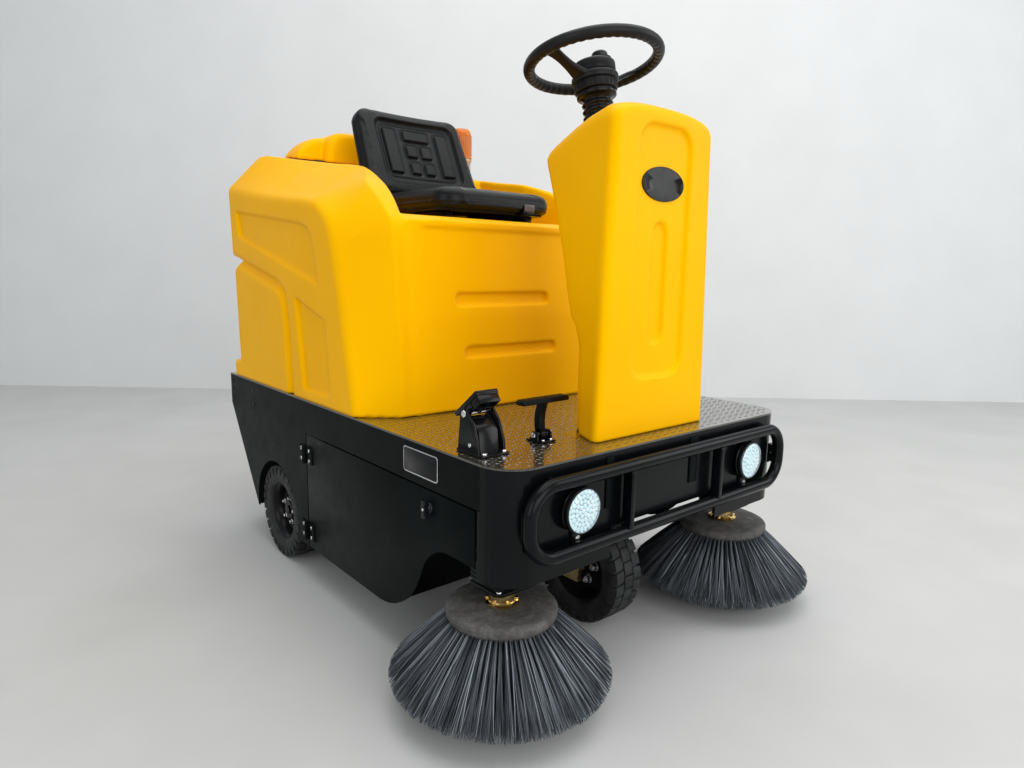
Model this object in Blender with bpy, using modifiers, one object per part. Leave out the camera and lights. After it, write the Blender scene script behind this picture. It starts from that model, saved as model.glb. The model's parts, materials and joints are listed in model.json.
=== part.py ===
"""Ride-on sweeper with a steered front wheel, two side brushes, a cylinder brush and a rear hopper.

Metres, +Z up. The front faces -Y and +X is the machine's left side. The origin is on the floor,
under the middle of the whole machine. Left and right pieces are mirror images of each other.
"""
import math

import bmesh
import bpy
from mathutils import Matrix, Vector

# --- fits -------------------------------------------------------------------------------------
GAP = 0.0003              # between two pieces that touch or run in each other
PLAY = 0.0035             # round a door or a hatch

# --- chassis ----------------------------------------------------------------------------------
HALF_WIDTH = 0.440        # outer face of the side panels
FRONT_Y = -0.610          # outer face of the front panel
REAR_Y = 0.719            # rear edge of the side panels
DECK_TOP = 0.4825         # top of the foot deck
DECK_THICK = 0.004
SHEET = 0.004             # side, front and rear panels
CORNER_R = 0.070          # rounded front corners of the deck
RAIL_X = 0.325            # centre of each frame rail
RAIL_WIDE = 0.040
RAIL_HIGH = 0.048
RAIL_FRONT = -0.560
RAIL_REAR = 0.700

# --- side panels and doors --------------------------------------------------------------------
PANEL_LOW = 0.097         # lowest straight edge of panel and door
ARCH_R = 0.145            # wheel arch
SKIRT_KNEE_Z = 0.392      # where the rear edge starts to slant forward
DOOR_REAR = 0.177         # door opening, rear edge
DOOR_FRONT = -0.530       # door opening, front edge
DOOR_TOP = 0.398
DOOR_FRONT_LOW = 0.286    # bottom of the door's front edge
DOOR_STRAIGHT_END = -0.179
HINGE_OUT = 0.006         # door hinge axis outside the door's face
LATCH_Y = -0.386
LATCH_Z = 0.361
POST_LOW = 0.268          # bottom of the front corner posts
FRONT_CUT_HALF = 0.175    # cut-out at the bottom of the front panel
FRONT_CUT_TOP = 0.330

# --- wheels -----------------------------------------------------------------------------------
TYRE_R = 0.130
TYRE_WIDE = 0.080
RIM_R = 0.078
AXLE_R = 0.012
REAR_WHEEL_X = 0.391
REAR_WHEEL_Y = 0.382
FRONT_WHEEL_Y = -0.389
FORK_GAP = 0.006          # between wheel and fork leg
FORK_LEG = 0.010
STEM_R = 0.020
WHEEL_STEPS = 28          # tyre and rim share their facets, so that the seat fits all round

# --- brushes ----------------------------------------------------------------------------------
SIDE_BRUSH_X = 0.3633
SIDE_BRUSH_Y = -0.512
SIDE_DISC_R = 0.106
SIDE_DISC_TOP = 0.197
SIDE_DISC_THICK = 0.026
SIDE_TIP_R = 0.213
SIDE_TIP_Z = 0.050
BRUSH_FLOOR_GAP = 0.004
ARM_PIVOT_Y = -0.280
ARM_PIVOT_Z = 0.330
SIDE_CASE_HALF = 0.050
MAIN_BRUSH_Y = 0.020
MAIN_BRUSH_R = 0.132
MAIN_BRUSH_HALF = 0.315
TUNNEL_WALL = 0.003
TUNNEL_SPACE = 0.018      # round the cylinder brush

# --- rear body --------------------------------------------------------------------------------
BODY_WALL = 0.006
BODY_FRONT = -0.168       # front face at the deck
BODY_REAR = 0.680
BODY_SIDE_TOP = 1.022     # upper edge of the side at the rear
RIDGE_X = 0.280           # crest of each side fender
RIDGE_Z = 1.130           # crest at the rear
TOP_FALL = 0.125          # slope of the crest and of the side's upper edge
SEAT_WELL_X = 0.262       # half width of the well between the fenders
SEAT_DECK_Z = 0.930
WELL_BACK_Y = 0.330       # back wall of the well at the seat deck
WELL_RIM_Y = 0.386        # back wall of the well at its rim
HOOD_HALF = 0.285
HOOD_FRONT = 0.475
HOOD_REAR = 0.655
HOOD_HIGH = 0.075
BEACON_X = 0.220
BEACON_Y = 0.428
BEACON_R = 0.034
BEACON_FOOT = 0.060

# --- seat -------------------------------------------------------------------------------------
SEAT_HALF = 0.185
SEAT_FRONT = -0.045
SEAT_BACK = 0.300
CUSHION_LOW = 0.952
CUSHION_THICK = 0.052
BACKREST_HIGH = 0.290
BACKREST_THICK = 0.055
BACKREST_LEAN = 0.44

# --- steering ---------------------------------------------------------------------------------
COWL_WALL = 0.005
COWL_FRONT = -0.562
COWL_HALF = 0.180         # half width at the front
COWL_REAR_HALF = 0.131
COWL_FOOT_REAR = -0.451
COWL_TOP_REAR = -0.350
COWL_TOP_Z = 1.045        # upper edge at the rear
COWL_TOP_RISE = 0.3125    # the top rises to the front with this slope
COWL_CROWN = 0.022
WHEEL_Y = -0.353          # centre of the steering wheel's rim
WHEEL_Z = 1.250
WHEEL_TILT = 0.190
STEER_R = 0.1380
STEER_RIM_R = 0.0125
HUB_DROP = 0.030          # hub below the plane of the rim
SHAFT_R = 0.009
FORK_SPROCKET_R = 0.052
STEERING_RATIO = 2.0      # turns of the steering wheel for one turn of the fork
CHAIN_Z = 0.400
CHAIN_HIGH = 0.014
CHAIN_PLAY = 0.0009
BELLOWS_R = 0.027

# --- front guard and lamps --------------------------------------------------------------------
GUARD_Y = -0.6275
GUARD_HALF = 0.413
GUARD_TOP = 0.450
GUARD_LOW = 0.319
GUARD_TUBE_R = 0.0130
GUARD_CORNER_R = 0.055
GUARD_BAR_X = 0.147
LAMP_X = 0.274
LAMP_Z = 0.389
LAMP_R = 0.044
LAMP_FACE_Y = -0.640

# --- pedals -----------------------------------------------------------------------------------
GAS_X = -0.385
GAS_Y = -0.455
BRAKE_X = -0.243
BRAKE_Y = -0.480

# --- colours: base colour, roughness, metallic ------------------------------------------------
FINISHES = {
    "yellow_shell": ((0.98, 0.53, 0.01), 0.35, 0.0),
    "black_sheet": ((0.012, 0.014, 0.013), 0.32, 0.2),
    "black_frame": ((0.015, 0.016, 0.016), 0.40, 0.3),
    "checker_deck": ((0.020, 0.020, 0.018), 0.22, 0.4),
    "black_vinyl": ((0.012, 0.013, 0.014), 0.48, 0.0),
    "black_plastic": ((0.014, 0.014, 0.015), 0.50, 0.0),
    "tyre_rubber": ((0.016, 0.016, 0.017), 0.75, 0.0),
    "rim_paint": ((0.012, 0.012, 0.012), 0.35, 0.4),
    "zinc": ((0.62, 0.52, 0.30), 0.35, 0.9),
    "steel": ((0.55, 0.55, 0.56), 0.35, 1.0),
    "bristle": ((0.020, 0.022, 0.026), 0.60, 0.0),
    "brush_disc": ((0.060, 0.058, 0.056), 0.85, 0.0),
    "amber_lens": ((0.95, 0.30, 0.02), 0.20, 0.0),
    "clear_lens": ((0.85, 0.92, 0.94), 0.12, 0.0),
    "red_plastic": ((0.60, 0.02, 0.02), 0.35, 0.0),
    "battery_case": ((0.05, 0.05, 0.06), 0.55, 0.0),
}

PARTS = "ride_on_sweeper"
CUTTERS = "cutters"


# --- scene helpers ----------------------------------------------------------------------------
def clear_scene():
    """Remove every object and make the two collections."""
    for item in list(bpy.data.objects):
        bpy.data.objects.remove(item, do_unlink=True)
    for name in (PARTS, CUTTERS):
        if name not in bpy.data.collections:
            bpy.context.scene.collection.children.link(bpy.data.collections.new(name))


def finish_material(name):
    """Return the Principled material of a finish, made once."""
    if name in bpy.data.materials:
        return bpy.data.materials[name]
    colour, roughness, metallic = FINISHES[name]
    material = bpy.data.materials.new(name)
    material.use_nodes = True
    shader = material.node_tree.nodes["Principled BSDF"]
    shader.inputs["Base Color"].default_value = (*colour, 1.0)
    shader.inputs["Roughness"].default_value = roughness
    shader.inputs["Metallic"].default_value = metallic
    return material


def add_part(name, mesh, finish, smooth=False):
    """Link a mesh as a finished sub-part."""
    item = bpy.data.objects.new(name, mesh)
    bpy.data.collections[PARTS].objects.link(item)
    mesh.materials.clear()
    mesh.materials.append(finish_material(finish))
    if smooth:
        mesh.shade_smooth()
        mesh.set_sharp_from_angle(angle=math.radians(35))
    return item


def as_cutter(item):
    """Move an object to the cutters, where it shapes another piece and is no piece itself."""
    bpy.data.collections[PARTS].objects.unlink(item)
    bpy.data.collections[CUTTERS].objects.link(item)
    item.hide_render = True
    item.display_type = "WIRE"
    return item


def boolean(item, tool, operation):
    """Give an object a Boolean with another one, which becomes a cutter."""
    modifier = item.modifiers.new(f"{operation.lower()}_{tool.name}", "BOOLEAN")
    modifier.operation = operation
    modifier.solver = "EXACT"
    modifier.object = as_cutter(tool)
    return item


def cut(item, tool):
    """Take a cutter away from an object."""
    return boolean(item, tool, "DIFFERENCE")


def join(item, tool):
    """Weld another shape onto an object."""
    return boolean(item, tool, "UNION")


def set_pivot(item, point):
    """Put the object's origin on a point and leave its shape where it is."""
    shift = Vector(point) - item.matrix_world.translation
    item.data.transform(Matrix.Translation(-(item.matrix_world.to_3x3().inverted() @ shift)))
    item.location = Vector(point)


# --- shapes -----------------------------------------------------------------------------------
def box(name, low, high, finish):
    """A box between two corners."""
    low, high = Vector(low), Vector(high)
    shape = bmesh.new()
    bmesh.ops.create_cube(shape, size=1.0)
    bmesh.ops.scale(shape, vec=high - low, verts=shape.verts)
    bmesh.ops.translate(shape, vec=(low + high) / 2, verts=shape.verts)
    mesh = bpy.data.meshes.new(name)
    shape.to_mesh(mesh)
    shape.free()
    return add_part(name, mesh, finish)


def rod(name, start, end, radius, finish, sides=24):
    """A round bar between two points."""
    start, end = Vector(start), Vector(end)
    along = end - start
    place = Matrix.Translation((start + end) / 2) @ along.to_track_quat("Z", "Y").to_matrix().to_4x4()
    shape = bmesh.new()
    bmesh.ops.create_cone(shape, cap_ends=True, segments=sides, radius1=radius, radius2=radius,
                          depth=along.length, matrix=place)
    mesh = bpy.data.meshes.new(name)
    shape.to_mesh(mesh)
    shape.free()
    return add_part(name, mesh, finish, smooth=True)


PLANES = {
    "XY": Matrix(((1, 0, 0), (0, 1, 0), (0, 0, 1))),
    "YZ": Matrix(((0, 0, 1), (1, 0, 0), (0, 1, 0))),
    "XZ": Matrix(((1, 0, 0), (0, 0, -1), (0, 1, 0))),
}
NORMAL_SIGN = {"XY": 1, "YZ": 1, "XZ": -1}


def curve_to_part(curve, name, place, finish, smooth):
    """Turn a curve into a welded mesh part and drop the curve."""
    guide = bpy.data.objects.new(name + "_curve", curve)
    bpy.data.collections[PARTS].objects.link(guide)
    guide.matrix_world = place
    graph = bpy.context.evaluated_depsgraph_get()
    mesh = bpy.data.meshes.new_from_object(guide.evaluated_get(graph))
    bpy.data.objects.remove(guide, do_unlink=True)
    bpy.data.curves.remove(curve)
    shape = bmesh.new()
    shape.from_mesh(mesh)
    bmesh.ops.remove_doubles(shape, verts=shape.verts, dist=0.00001)
    bmesh.ops.recalc_face_normals(shape, faces=shape.faces)
    shape.to_mesh(mesh)
    shape.free()
    mesh.name = name
    mesh.transform(place)
    return add_part(name, mesh, finish, smooth)


def plate(name, plane, points, low, high, finish, smooth=False):
    """A flat outline in a plane, as thick as the space from low to high along its normal."""
    curve = bpy.data.curves.new(name, "CURVE")
    curve.dimensions = "2D"
    curve.fill_mode = "BOTH"
    curve.extrude = (high - low) / 2
    spline = curve.splines.new("POLY")
    spline.points.add(len(points) - 1)
    for target, (across, up) in zip(spline.points, points):
        target.co = (across, up, 0, 1)
    spline.use_cyclic_u = True
    middle = Vector((0, 0, NORMAL_SIGN[plane] * (low + high) / 2))
    place = PLANES[plane].to_4x4() @ Matrix.Translation(middle)
    return curve_to_part(curve, name, place, finish, smooth)


def pipe(name, points, radius, finish, closed=False, sides_level=2):
    """A round tube through points."""
    curve = bpy.data.curves.new(name, "CURVE")
    curve.dimensions = "3D"
    curve.bevel_depth = radius
    curve.bevel_resolution = sides_level
    curve.use_fill_caps = not closed
    spline = curve.splines.new("POLY")
    spline.points.add(len(points) - 1)
    for target, point in zip(spline.points, points):
        target.co = (*point, 1)
    spline.use_cyclic_u = closed
    return curve_to_part(curve, name, Matrix.Identity(4), finish, True)


def turned(name, profile, centre, axis, finish, steps=32, closed=False):
    """A profile of (radius, height) turned round an axis; a closed profile makes a ring."""
    shape = bmesh.new()
    ring = [shape.verts.new((radius, 0, height)) for radius, height in profile]
    for first, second in zip(ring, ring[1:]):
        shape.edges.new((first, second))
    if closed:
        shape.edges.new((ring[-1], ring[0]))
    mesh = bpy.data.meshes.new(name)
    shape.to_mesh(mesh)
    shape.free()
    item = add_part(name, mesh, finish)
    screw = item.modifiers.new("turn", "SCREW")
    screw.steps = steps
    screw.render_steps = steps
    screw.use_merge_vertices = True
    screw.merge_threshold = 0.00005
    screw.use_smooth_shade = False
    item.matrix_world = (Matrix.Translation(Vector(centre))
                         @ Vector(axis).to_track_quat("Z", "Y").to_matrix().to_4x4())
    return item


def arc(centre, radius, start, end, count):
    """Points on an arc, angles in degrees."""
    angles = [math.radians(start + (end - start) * step / count) for step in range(count + 1)]
    return [(centre[0] + radius * math.cos(a), centre[1] + radius * math.sin(a)) for a in angles]


def skin(name, rows, wall, finish, end_faces=()):
    """A half shell from rows of points, mirrored across X = 0 and given its wall inside."""
    shape = bmesh.new()
    grid = [[shape.verts.new(point) for point in row] for row in rows]
    for row, after in zip(grid, grid[1:]):
        for index in range(len(row) - 1):
            shape.faces.new((row[index], row[index + 1], after[index + 1], after[index]))
    for row_index in end_faces:
        shape.faces.new(grid[row_index])
    bmesh.ops.recalc_face_normals(shape, faces=shape.faces)
    mesh = bpy.data.meshes.new(name)
    shape.to_mesh(mesh)
    shape.free()
    item = add_part(name, mesh, finish, smooth=True)
    mirror = item.modifiers.new("other_half", "MIRROR")
    mirror.merge_threshold = 0.0001
    solidify = item.modifiers.new("wall", "SOLIDIFY")
    solidify.thickness = wall
    solidify.offset = -1
    solidify.use_even_offset = True
    item.modifiers.new("flat_faces", "TRIANGULATE")
    return item


def trim_foot(item, height, slope=0.0):
    """Cut a shell's lower edge flat, at a height over the middle of the piece's own Y = 0 line."""
    block = box(f"{item.name}_trim", (-1, -1, -0.1), (1, 1, 0), "steel")
    block.data.transform(Matrix.Translation((0, 0, height)) @ Matrix.Rotation(math.atan(slope), 4, "X"))
    return cut(item, block)


def both_sides(maker):
    """Make a piece on the left, +X, and on the right, -X."""
    for side, name in ((1, "left"), (-1, "right")):
        maker(side, name)


def span(side, inner, outer):
    """Two X values on one side of the machine, in rising order."""
    return tuple(sorted((side * inner, side * outer)))


# --- chassis ----------------------------------------------------------------------------------
RAIL_TOP = DECK_TOP - DECK_THICK - GAP
RAIL_LOW = RAIL_TOP - RAIL_HIGH
RAIL_INNER = RAIL_X - RAIL_WIDE / 2
RAIL_OUTER = RAIL_X + RAIL_WIDE / 2
PANEL_TOP = DECK_TOP - DECK_THICK - GAP
RUNNER_WEB = 0.004
RUNNER_DROP = 0.040
RUNNER_REACH = 0.010
RUNNER_THICK = 0.003
HOPPER_FRONT = 0.215
HOPPER_LIP = 0.004
RUNNER_TOP = RAIL_LOW - RUNNER_DROP + RUNNER_THICK
HOPPER_TOP = RUNNER_TOP + GAP + HOPPER_LIP
HOPPER_FACE_TOP = HOPPER_TOP + 0.0025


def front_corners(inset):
    """Plan outline of the rounded front, from the right side panel to the left one."""
    centre_x = HALF_WIDTH - CORNER_R
    centre_y = FRONT_Y + CORNER_R
    radius = CORNER_R - inset
    right = arc((-centre_x, centre_y), radius, 180, 270, 8)
    left = arc((centre_x, centre_y), radius, 270, 360, 8)
    return right + left


def deck_plate():
    """Foot deck and floor of the body, with its rear edge bent down above the hopper."""
    outline = front_corners(0) + [(HALF_WIDTH, REAR_Y), (-HALF_WIDTH, REAR_Y)]
    deck = plate("deck_plate", "XY", outline, DECK_TOP - DECK_THICK, DECK_TOP, "checker_deck")
    through = (DECK_TOP - WHEEL_Z) / COLUMN_AXIS.z
    cut(deck, rod("column_hole", on_column(through - 0.03), on_column(through + 0.03), SHAFT_R + 0.0008,
                  "steel", 24))
    inner = HALF_WIDTH - SHEET - GAP
    join(deck, box("rear_flange", (-inner, RAIL_REAR + GAP, HOPPER_FACE_TOP + PLAY),
                   (inner, RAIL_REAR + GAP + SHEET, DECK_TOP - 0.001), "checker_deck"))


def arm_bracket(rail, side, name):
    """Weld the fork bracket and the pin of the lift arm onto a frame rail."""
    x = side * SIDE_BRUSH_X
    cheek = 0.006
    inner = 0.020 + GAP
    join(rail, box(f"bracket_plate_{name}", (x - inner - cheek, ARM_PIVOT_Y - 0.025, RAIL_LOW - 0.010),
                   (x + inner + cheek, ARM_PIVOT_Y + 0.025, RAIL_LOW + 0.004), "black_frame"))
    for number, offset in enumerate((-inner - cheek, inner)):
        join(rail, box(f"bracket_cheek_{name}_{number}", (x + offset, ARM_PIVOT_Y - 0.016,
                                                          ARM_PIVOT_Z - 0.016),
                       (x + offset + cheek, ARM_PIVOT_Y + 0.016, RAIL_LOW - 0.006), "black_frame"))
    join(rail, rod(f"bracket_pin_{name}", (x - inner - 0.004, ARM_PIVOT_Y, ARM_PIVOT_Z),
                   (x + inner + 0.004, ARM_PIVOT_Y, ARM_PIVOT_Z), 0.008, "steel", 24))


def frame_rail(side, name):
    """Rail with the runner that the hopper slides on and the bracket of a side brush's lift arm."""
    low, high = span(side, RAIL_INNER, RAIL_OUTER)
    rail = box(f"frame_rail_{name}", (low, RAIL_FRONT, RAIL_LOW), (high, RAIL_REAR, RAIL_TOP), "black_frame")
    web = RAIL_INNER + 0.001
    floor = RUNNER_TOP - RUNNER_THICK
    section = [
        (web, RAIL_LOW + 0.010), (web, floor + RUNNER_THICK), (web - RUNNER_REACH, floor + RUNNER_THICK),
        (web - RUNNER_REACH, floor), (web + RUNNER_WEB, floor), (web + RUNNER_WEB, RAIL_LOW + 0.010),
    ]
    join(rail, plate(f"runner_{name}", "XZ", [(side * x, z) for x, z in section], HOPPER_FRONT,
                     RAIL_REAR - 0.002, "black_frame"))
    arm_bracket(rail, side, name)


def cross_member(name, front, rear):
    inner = RAIL_INNER - GAP
    return box(name, (-inner, front, RAIL_LOW), (inner, rear, RAIL_TOP), "black_frame")


def steering_head():
    """Front cross-member with the bearing tube that the fork turns in."""
    member = cross_member("front_cross_member", FRONT_WHEEL_Y - 0.045, FRONT_WHEEL_Y + 0.045)
    bore = rod("stem_bore", (0, FRONT_WHEEL_Y, RAIL_LOW - 0.02), (0, FRONT_WHEEL_Y, RAIL_TOP + 0.02),
               STEM_R + GAP, "steel", 32)
    cut(member, bore)


def panel_outline():
    """Side view of the fixed side panel: top rail, wheel arch and rear skirt."""
    wheel = (REAR_WHEEL_Y, TYRE_R)
    low_angle = math.degrees(math.asin((TYRE_R - PANEL_LOW) / ARCH_R))
    return [
        (FRONT_Y + CORNER_R + GAP, PANEL_TOP),
        (FRONT_Y + CORNER_R + GAP, DOOR_TOP),
        (DOOR_REAR, DOOR_TOP),
        (DOOR_REAR, PANEL_LOW),
        *arc(wheel, ARCH_R, 180 + low_angle, -low_angle * 0.6, 16),
        (REAR_Y, SKIRT_KNEE_Z),
        (REAR_Y, PANEL_TOP),
    ]


def side_panel(side, name):
    low, high = span(side, HALF_WIDTH - SHEET, HALF_WIDTH)
    panel = plate(f"side_panel_{name}", "YZ", panel_outline(), low, high, "black_sheet")
    for number in range(len(HINGE_HEIGHTS)):
        hinge_half(panel, side, f"side_panel_{name}", 1, number)


def door_outline():
    """Side view of the door, with the arch over the side brush at its front."""
    front = DOOR_FRONT + PLAY
    return [
        (DOOR_REAR - PLAY, PANEL_LOW),
        (DOOR_REAR - PLAY, DOOR_TOP - PLAY),
        (front, DOOR_TOP - PLAY),
        (front, DOOR_FRONT_LOW),
        *arc((-0.440, 0.190), 0.092, 78, 30, 4),
        (DOOR_STRAIGHT_END - 0.060, 0.130),
        (DOOR_STRAIGHT_END, PANEL_LOW),
    ]


HINGE_HEIGHTS = (0.140, 0.342)
HINGE_R = 0.0055
HINGE_LEAF = 0.036
HINGE_HALF = 0.022
HINGE_PIN_R = 0.0025


def hinge_half(item, side, name, toward, number):
    """Weld one leaf and its knuckle onto a panel or a door; toward is -1 for the door's half."""
    x = side * (HALF_WIDTH + HINGE_OUT)
    middle = HINGE_HEIGHTS[number]
    leaf_near, leaf_far = DOOR_REAR + toward * (HINGE_R + 0.001), DOOR_REAR + toward * HINGE_LEAF
    x_low, x_high = span(side, HALF_WIDTH - 0.001, HALF_WIDTH + 0.0025)
    join(item, box(f"{name}_leaf_{number}", (x_low, min(leaf_near, leaf_far), middle - HINGE_HALF),
                   (x_high, max(leaf_near, leaf_far), middle + HINGE_HALF), "black_sheet"))
    low, high = (middle + GAP, middle + HINGE_HALF) if toward < 0 else (middle - HINGE_HALF, middle - GAP)
    tongue_low, tongue_high = span(side, HALF_WIDTH + GAP * 2, HALF_WIDTH + 0.0035)
    join(item, box(f"{name}_tongue_{number}", (tongue_low, min(DOOR_REAR, leaf_near + toward * 0.002),
                                               low + GAP),
                   (tongue_high, max(DOOR_REAR, leaf_near + toward * 0.002), high - GAP), "black_sheet"))
    join(item, rod(f"{name}_knuckle_{number}", (x, DOOR_REAR, low), (x, DOOR_REAR, high), HINGE_R,
                   "black_sheet", 16))
    pin_top = middle + HINGE_HALF - 0.004
    if toward < 0:
        cut(item, rod(f"{name}_bore_{number}", (x, DOOR_REAR, middle - 0.01), (x, DOOR_REAR, pin_top + GAP),
                      HINGE_PIN_R + GAP, "steel", 12))
    else:
        join(item, rod(f"{name}_pin_{number}", (x, DOOR_REAR, middle - 0.010), (x, DOOR_REAR, pin_top),
                       HINGE_PIN_R, "steel", 12))


def door(side, name):
    low, high = span(side, HALF_WIDTH - SHEET, HALF_WIDTH)
    leaf = plate(f"door_{name}", "YZ", door_outline(), low, high, "black_sheet")
    latch_low, latch_high = span(side, HALF_WIDTH - SHEET - 0.01, HALF_WIDTH + 0.01)
    cut(leaf, rod(f"latch_hole_{name}", (latch_low, LATCH_Y, LATCH_Z), (latch_high, LATCH_Y, LATCH_Z),
                  0.006 + GAP, "steel", 16))
    for number in range(len(HINGE_HEIGHTS)):
        hinge_half(leaf, side, f"door_{name}", -1, number)
    set_pivot(leaf, (side * (HALF_WIDTH + HINGE_OUT), DOOR_REAR, 0.25))


def door_latch(side, name):
    """Quarter-turn handle: round shank through the door, grip bar outside."""
    inner = side * (HALF_WIDTH - SHEET - 0.006)
    face = side * (HALF_WIDTH + GAP)
    outer = side * (HALF_WIDTH + 0.016)
    latch = rod(f"door_latch_{name}", (inner, LATCH_Y, LATCH_Z),
                (side * (HALF_WIDTH + 0.006), LATCH_Y, LATCH_Z),
                0.006, "black_plastic", 16)
    join(latch, rod(f"latch_boss_{name}", (face, LATCH_Y, LATCH_Z), (outer, LATCH_Y, LATCH_Z), 0.013,
                    "black_plastic", 24))
    bar_low, bar_high = span(side, HALF_WIDTH + 0.006, HALF_WIDTH + 0.017)
    join(latch, box(f"latch_bar_{name}", (bar_low, LATCH_Y - 0.006, LATCH_Z - 0.018),
                    (bar_high, LATCH_Y + 0.006, LATCH_Z + 0.018), "black_plastic"))
    set_pivot(latch, (side * HALF_WIDTH, LATCH_Y, LATCH_Z))


def front_panel():
    """Bent sheet round the front, with both corner posts."""
    post_end = DOOR_FRONT - PLAY
    outer = front_corners(0)
    inner = front_corners(SHEET)
    strip = ([(-HALF_WIDTH, post_end)] + outer + [(HALF_WIDTH, post_end)]
             + [(HALF_WIDTH - SHEET, post_end)] + inner[::-1] + [(-HALF_WIDTH + SHEET, post_end)])
    panel = plate("front_panel", "XY", strip, POST_LOW, PANEL_TOP, "black_sheet")
    cut(panel, box("front_cut", (-FRONT_CUT_HALF, FRONT_Y - 0.02, POST_LOW - 0.02),
                   (FRONT_CUT_HALF, FRONT_Y + 0.02, FRONT_CUT_TOP), "steel"))
    cut(panel, box("post_top_cut_left", (HALF_WIDTH - 0.02, FRONT_Y + CORNER_R, DOOR_TOP - GAP),
                   (HALF_WIDTH + 0.02, 0, PANEL_TOP + 0.02), "steel"))
    cut(panel, box("post_top_cut_right", (-HALF_WIDTH - 0.02, FRONT_Y + CORNER_R, DOOR_TOP - GAP),
                   (-HALF_WIDTH + 0.02, 0, PANEL_TOP + 0.02), "steel"))


# --- steering column axis ---------------------------------------------------------------------
COLUMN_AXIS = Vector((0, math.sin(WHEEL_TILT), math.cos(WHEEL_TILT)))
WHEEL_CENTRE = Vector((0, WHEEL_Y, WHEEL_Z))


def on_column(distance):
    """Point on the steering column, a distance above the middle of the rim."""
    return WHEEL_CENTRE + COLUMN_AXIS * distance


# --- wheels -----------------------------------------------------------------------------------
def tyre(name, centre):
    """Solid tyre, a closed ring with rounded shoulders."""
    half = TYRE_WIDE / 2
    seat = RIM_R + GAP
    profile = [
        (TYRE_R, half - 0.014),
        (TYRE_R, -half + 0.014),
        (TYRE_R - 0.008, -half + 0.003),
        (TYRE_R - 0.022, -half),
        (seat, -half + 0.010),
        (seat, half - 0.010),
        (TYRE_R - 0.022, half),
        (TYRE_R - 0.008, half - 0.003),
    ]
    return turned(name, profile, centre, (1, 0, 0), "tyre_rubber", WHEEL_STEPS, closed=True)


def rim(name, centre, outward):
    """Dished steel rim with a bore for its axle."""
    half = TYRE_WIDE / 2 - 0.010
    bore = AXLE_R + GAP
    profile = [
        (RIM_R, half),
        (RIM_R, -half),
        (RIM_R - 0.012, -half),
        (0.050, -0.004),
        (0.030, -0.022),
        (bore, -0.022),
        (bore, 0.018),
        (0.032, 0.018),
        (0.040, 0.004),
        (RIM_R - 0.008, half - 0.004),
    ]
    return turned(name, profile, centre, (outward, 0, 0), "rim_paint", WHEEL_STEPS, closed=True)


def rear_wheel(side, name):
    centre = (side * REAR_WHEEL_X, REAR_WHEEL_Y, TYRE_R)
    tyre(f"rear_tyre_{name}", centre)
    rim(f"rear_rim_{name}", centre, side)


def axle_bracket(side, name):
    """Hanger plate under the frame rail with the stub axle of a rear wheel."""
    plate_inner = RAIL_INNER + RUNNER_WEB + 0.004
    plate_outer = plate_inner + 0.010
    low, high = span(side, plate_inner, plate_outer)
    outline = [
        (REAR_WHEEL_Y - 0.070, RAIL_LOW - GAP),
        (REAR_WHEEL_Y - 0.030, TYRE_R - 0.030),
        (REAR_WHEEL_Y + 0.030, TYRE_R - 0.030),
        (REAR_WHEEL_Y + 0.070, RAIL_LOW - GAP),
    ]
    bracket = plate(f"axle_bracket_{name}", "YZ", outline, low, high, "black_frame")
    stub = rod(f"stub_axle_{name}", (side * (plate_outer - 0.004), REAR_WHEEL_Y, TYRE_R),
               (side * (REAR_WHEEL_X + 0.022), REAR_WHEEL_Y, TYRE_R), AXLE_R, "steel", 24)
    join(bracket, stub)


def fork():
    """Steered fork: stem in the cross-member, sprocket, crown, two legs and the wheel's axle."""
    half = TYRE_WIDE / 2 + FORK_GAP
    crown_low = TYRE_R * 2 + 0.022
    crown_top = RAIL_LOW - GAP
    frame = box("fork", (-half - FORK_LEG, FRONT_WHEEL_Y - 0.045, crown_low),
                (half + FORK_LEG, FRONT_WHEEL_Y + 0.045, crown_low + 0.014), "zinc")
    for side in (-1, 1):
        low, high = span(side, half, half + FORK_LEG)
        outline = [
            (FRONT_WHEEL_Y - 0.040, crown_low + 0.010),
            (FRONT_WHEEL_Y - 0.024, TYRE_R - 0.024),
            (FRONT_WHEEL_Y + 0.024, TYRE_R - 0.024),
            (FRONT_WHEEL_Y + 0.040, crown_low + 0.010),
        ]
        join(frame, plate(f"fork_leg_{side}", "YZ", outline, low, high, "zinc"))
    join(frame, rod("fork_stem", (0, FRONT_WHEEL_Y, crown_low + 0.005), (0, FRONT_WHEEL_Y, RAIL_TOP - 0.002),
                    STEM_R, "zinc", 24))
    join(frame, rod("fork_sprocket", (0, FRONT_WHEEL_Y, CHAIN_Z - 0.002), (0, FRONT_WHEEL_Y, CHAIN_Z + 0.002),
                    FORK_SPROCKET_R, "steel", 24))
    join(frame, rod("fork_collar", (0, FRONT_WHEEL_Y, crown_low + 0.004), (0, FRONT_WHEEL_Y, crown_top),
                    0.034,
                    "zinc", 32))
    join(frame, rod("fork_axle", (-half - 0.004, FRONT_WHEEL_Y, TYRE_R),
                    (half + 0.004, FRONT_WHEEL_Y, TYRE_R),
                    AXLE_R, "steel", 24))
    set_pivot(frame, (0, FRONT_WHEEL_Y, crown_top))


def front_wheel():
    centre = (0, FRONT_WHEEL_Y, TYRE_R)
    tyre("front_tyre", centre)
    half = TYRE_WIDE / 2 - 0.010
    bore = AXLE_R + GAP
    profile = [
        (RIM_R, half), (RIM_R, -half), (RIM_R - 0.012, -half), (0.050, -0.024), (bore, -0.034),
        (bore, 0.034), (0.050, 0.024), (RIM_R - 0.012, half),
    ]
    turned("front_rim", profile, centre, (1, 0, 0), "rim_paint", WHEEL_STEPS, closed=True)


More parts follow.
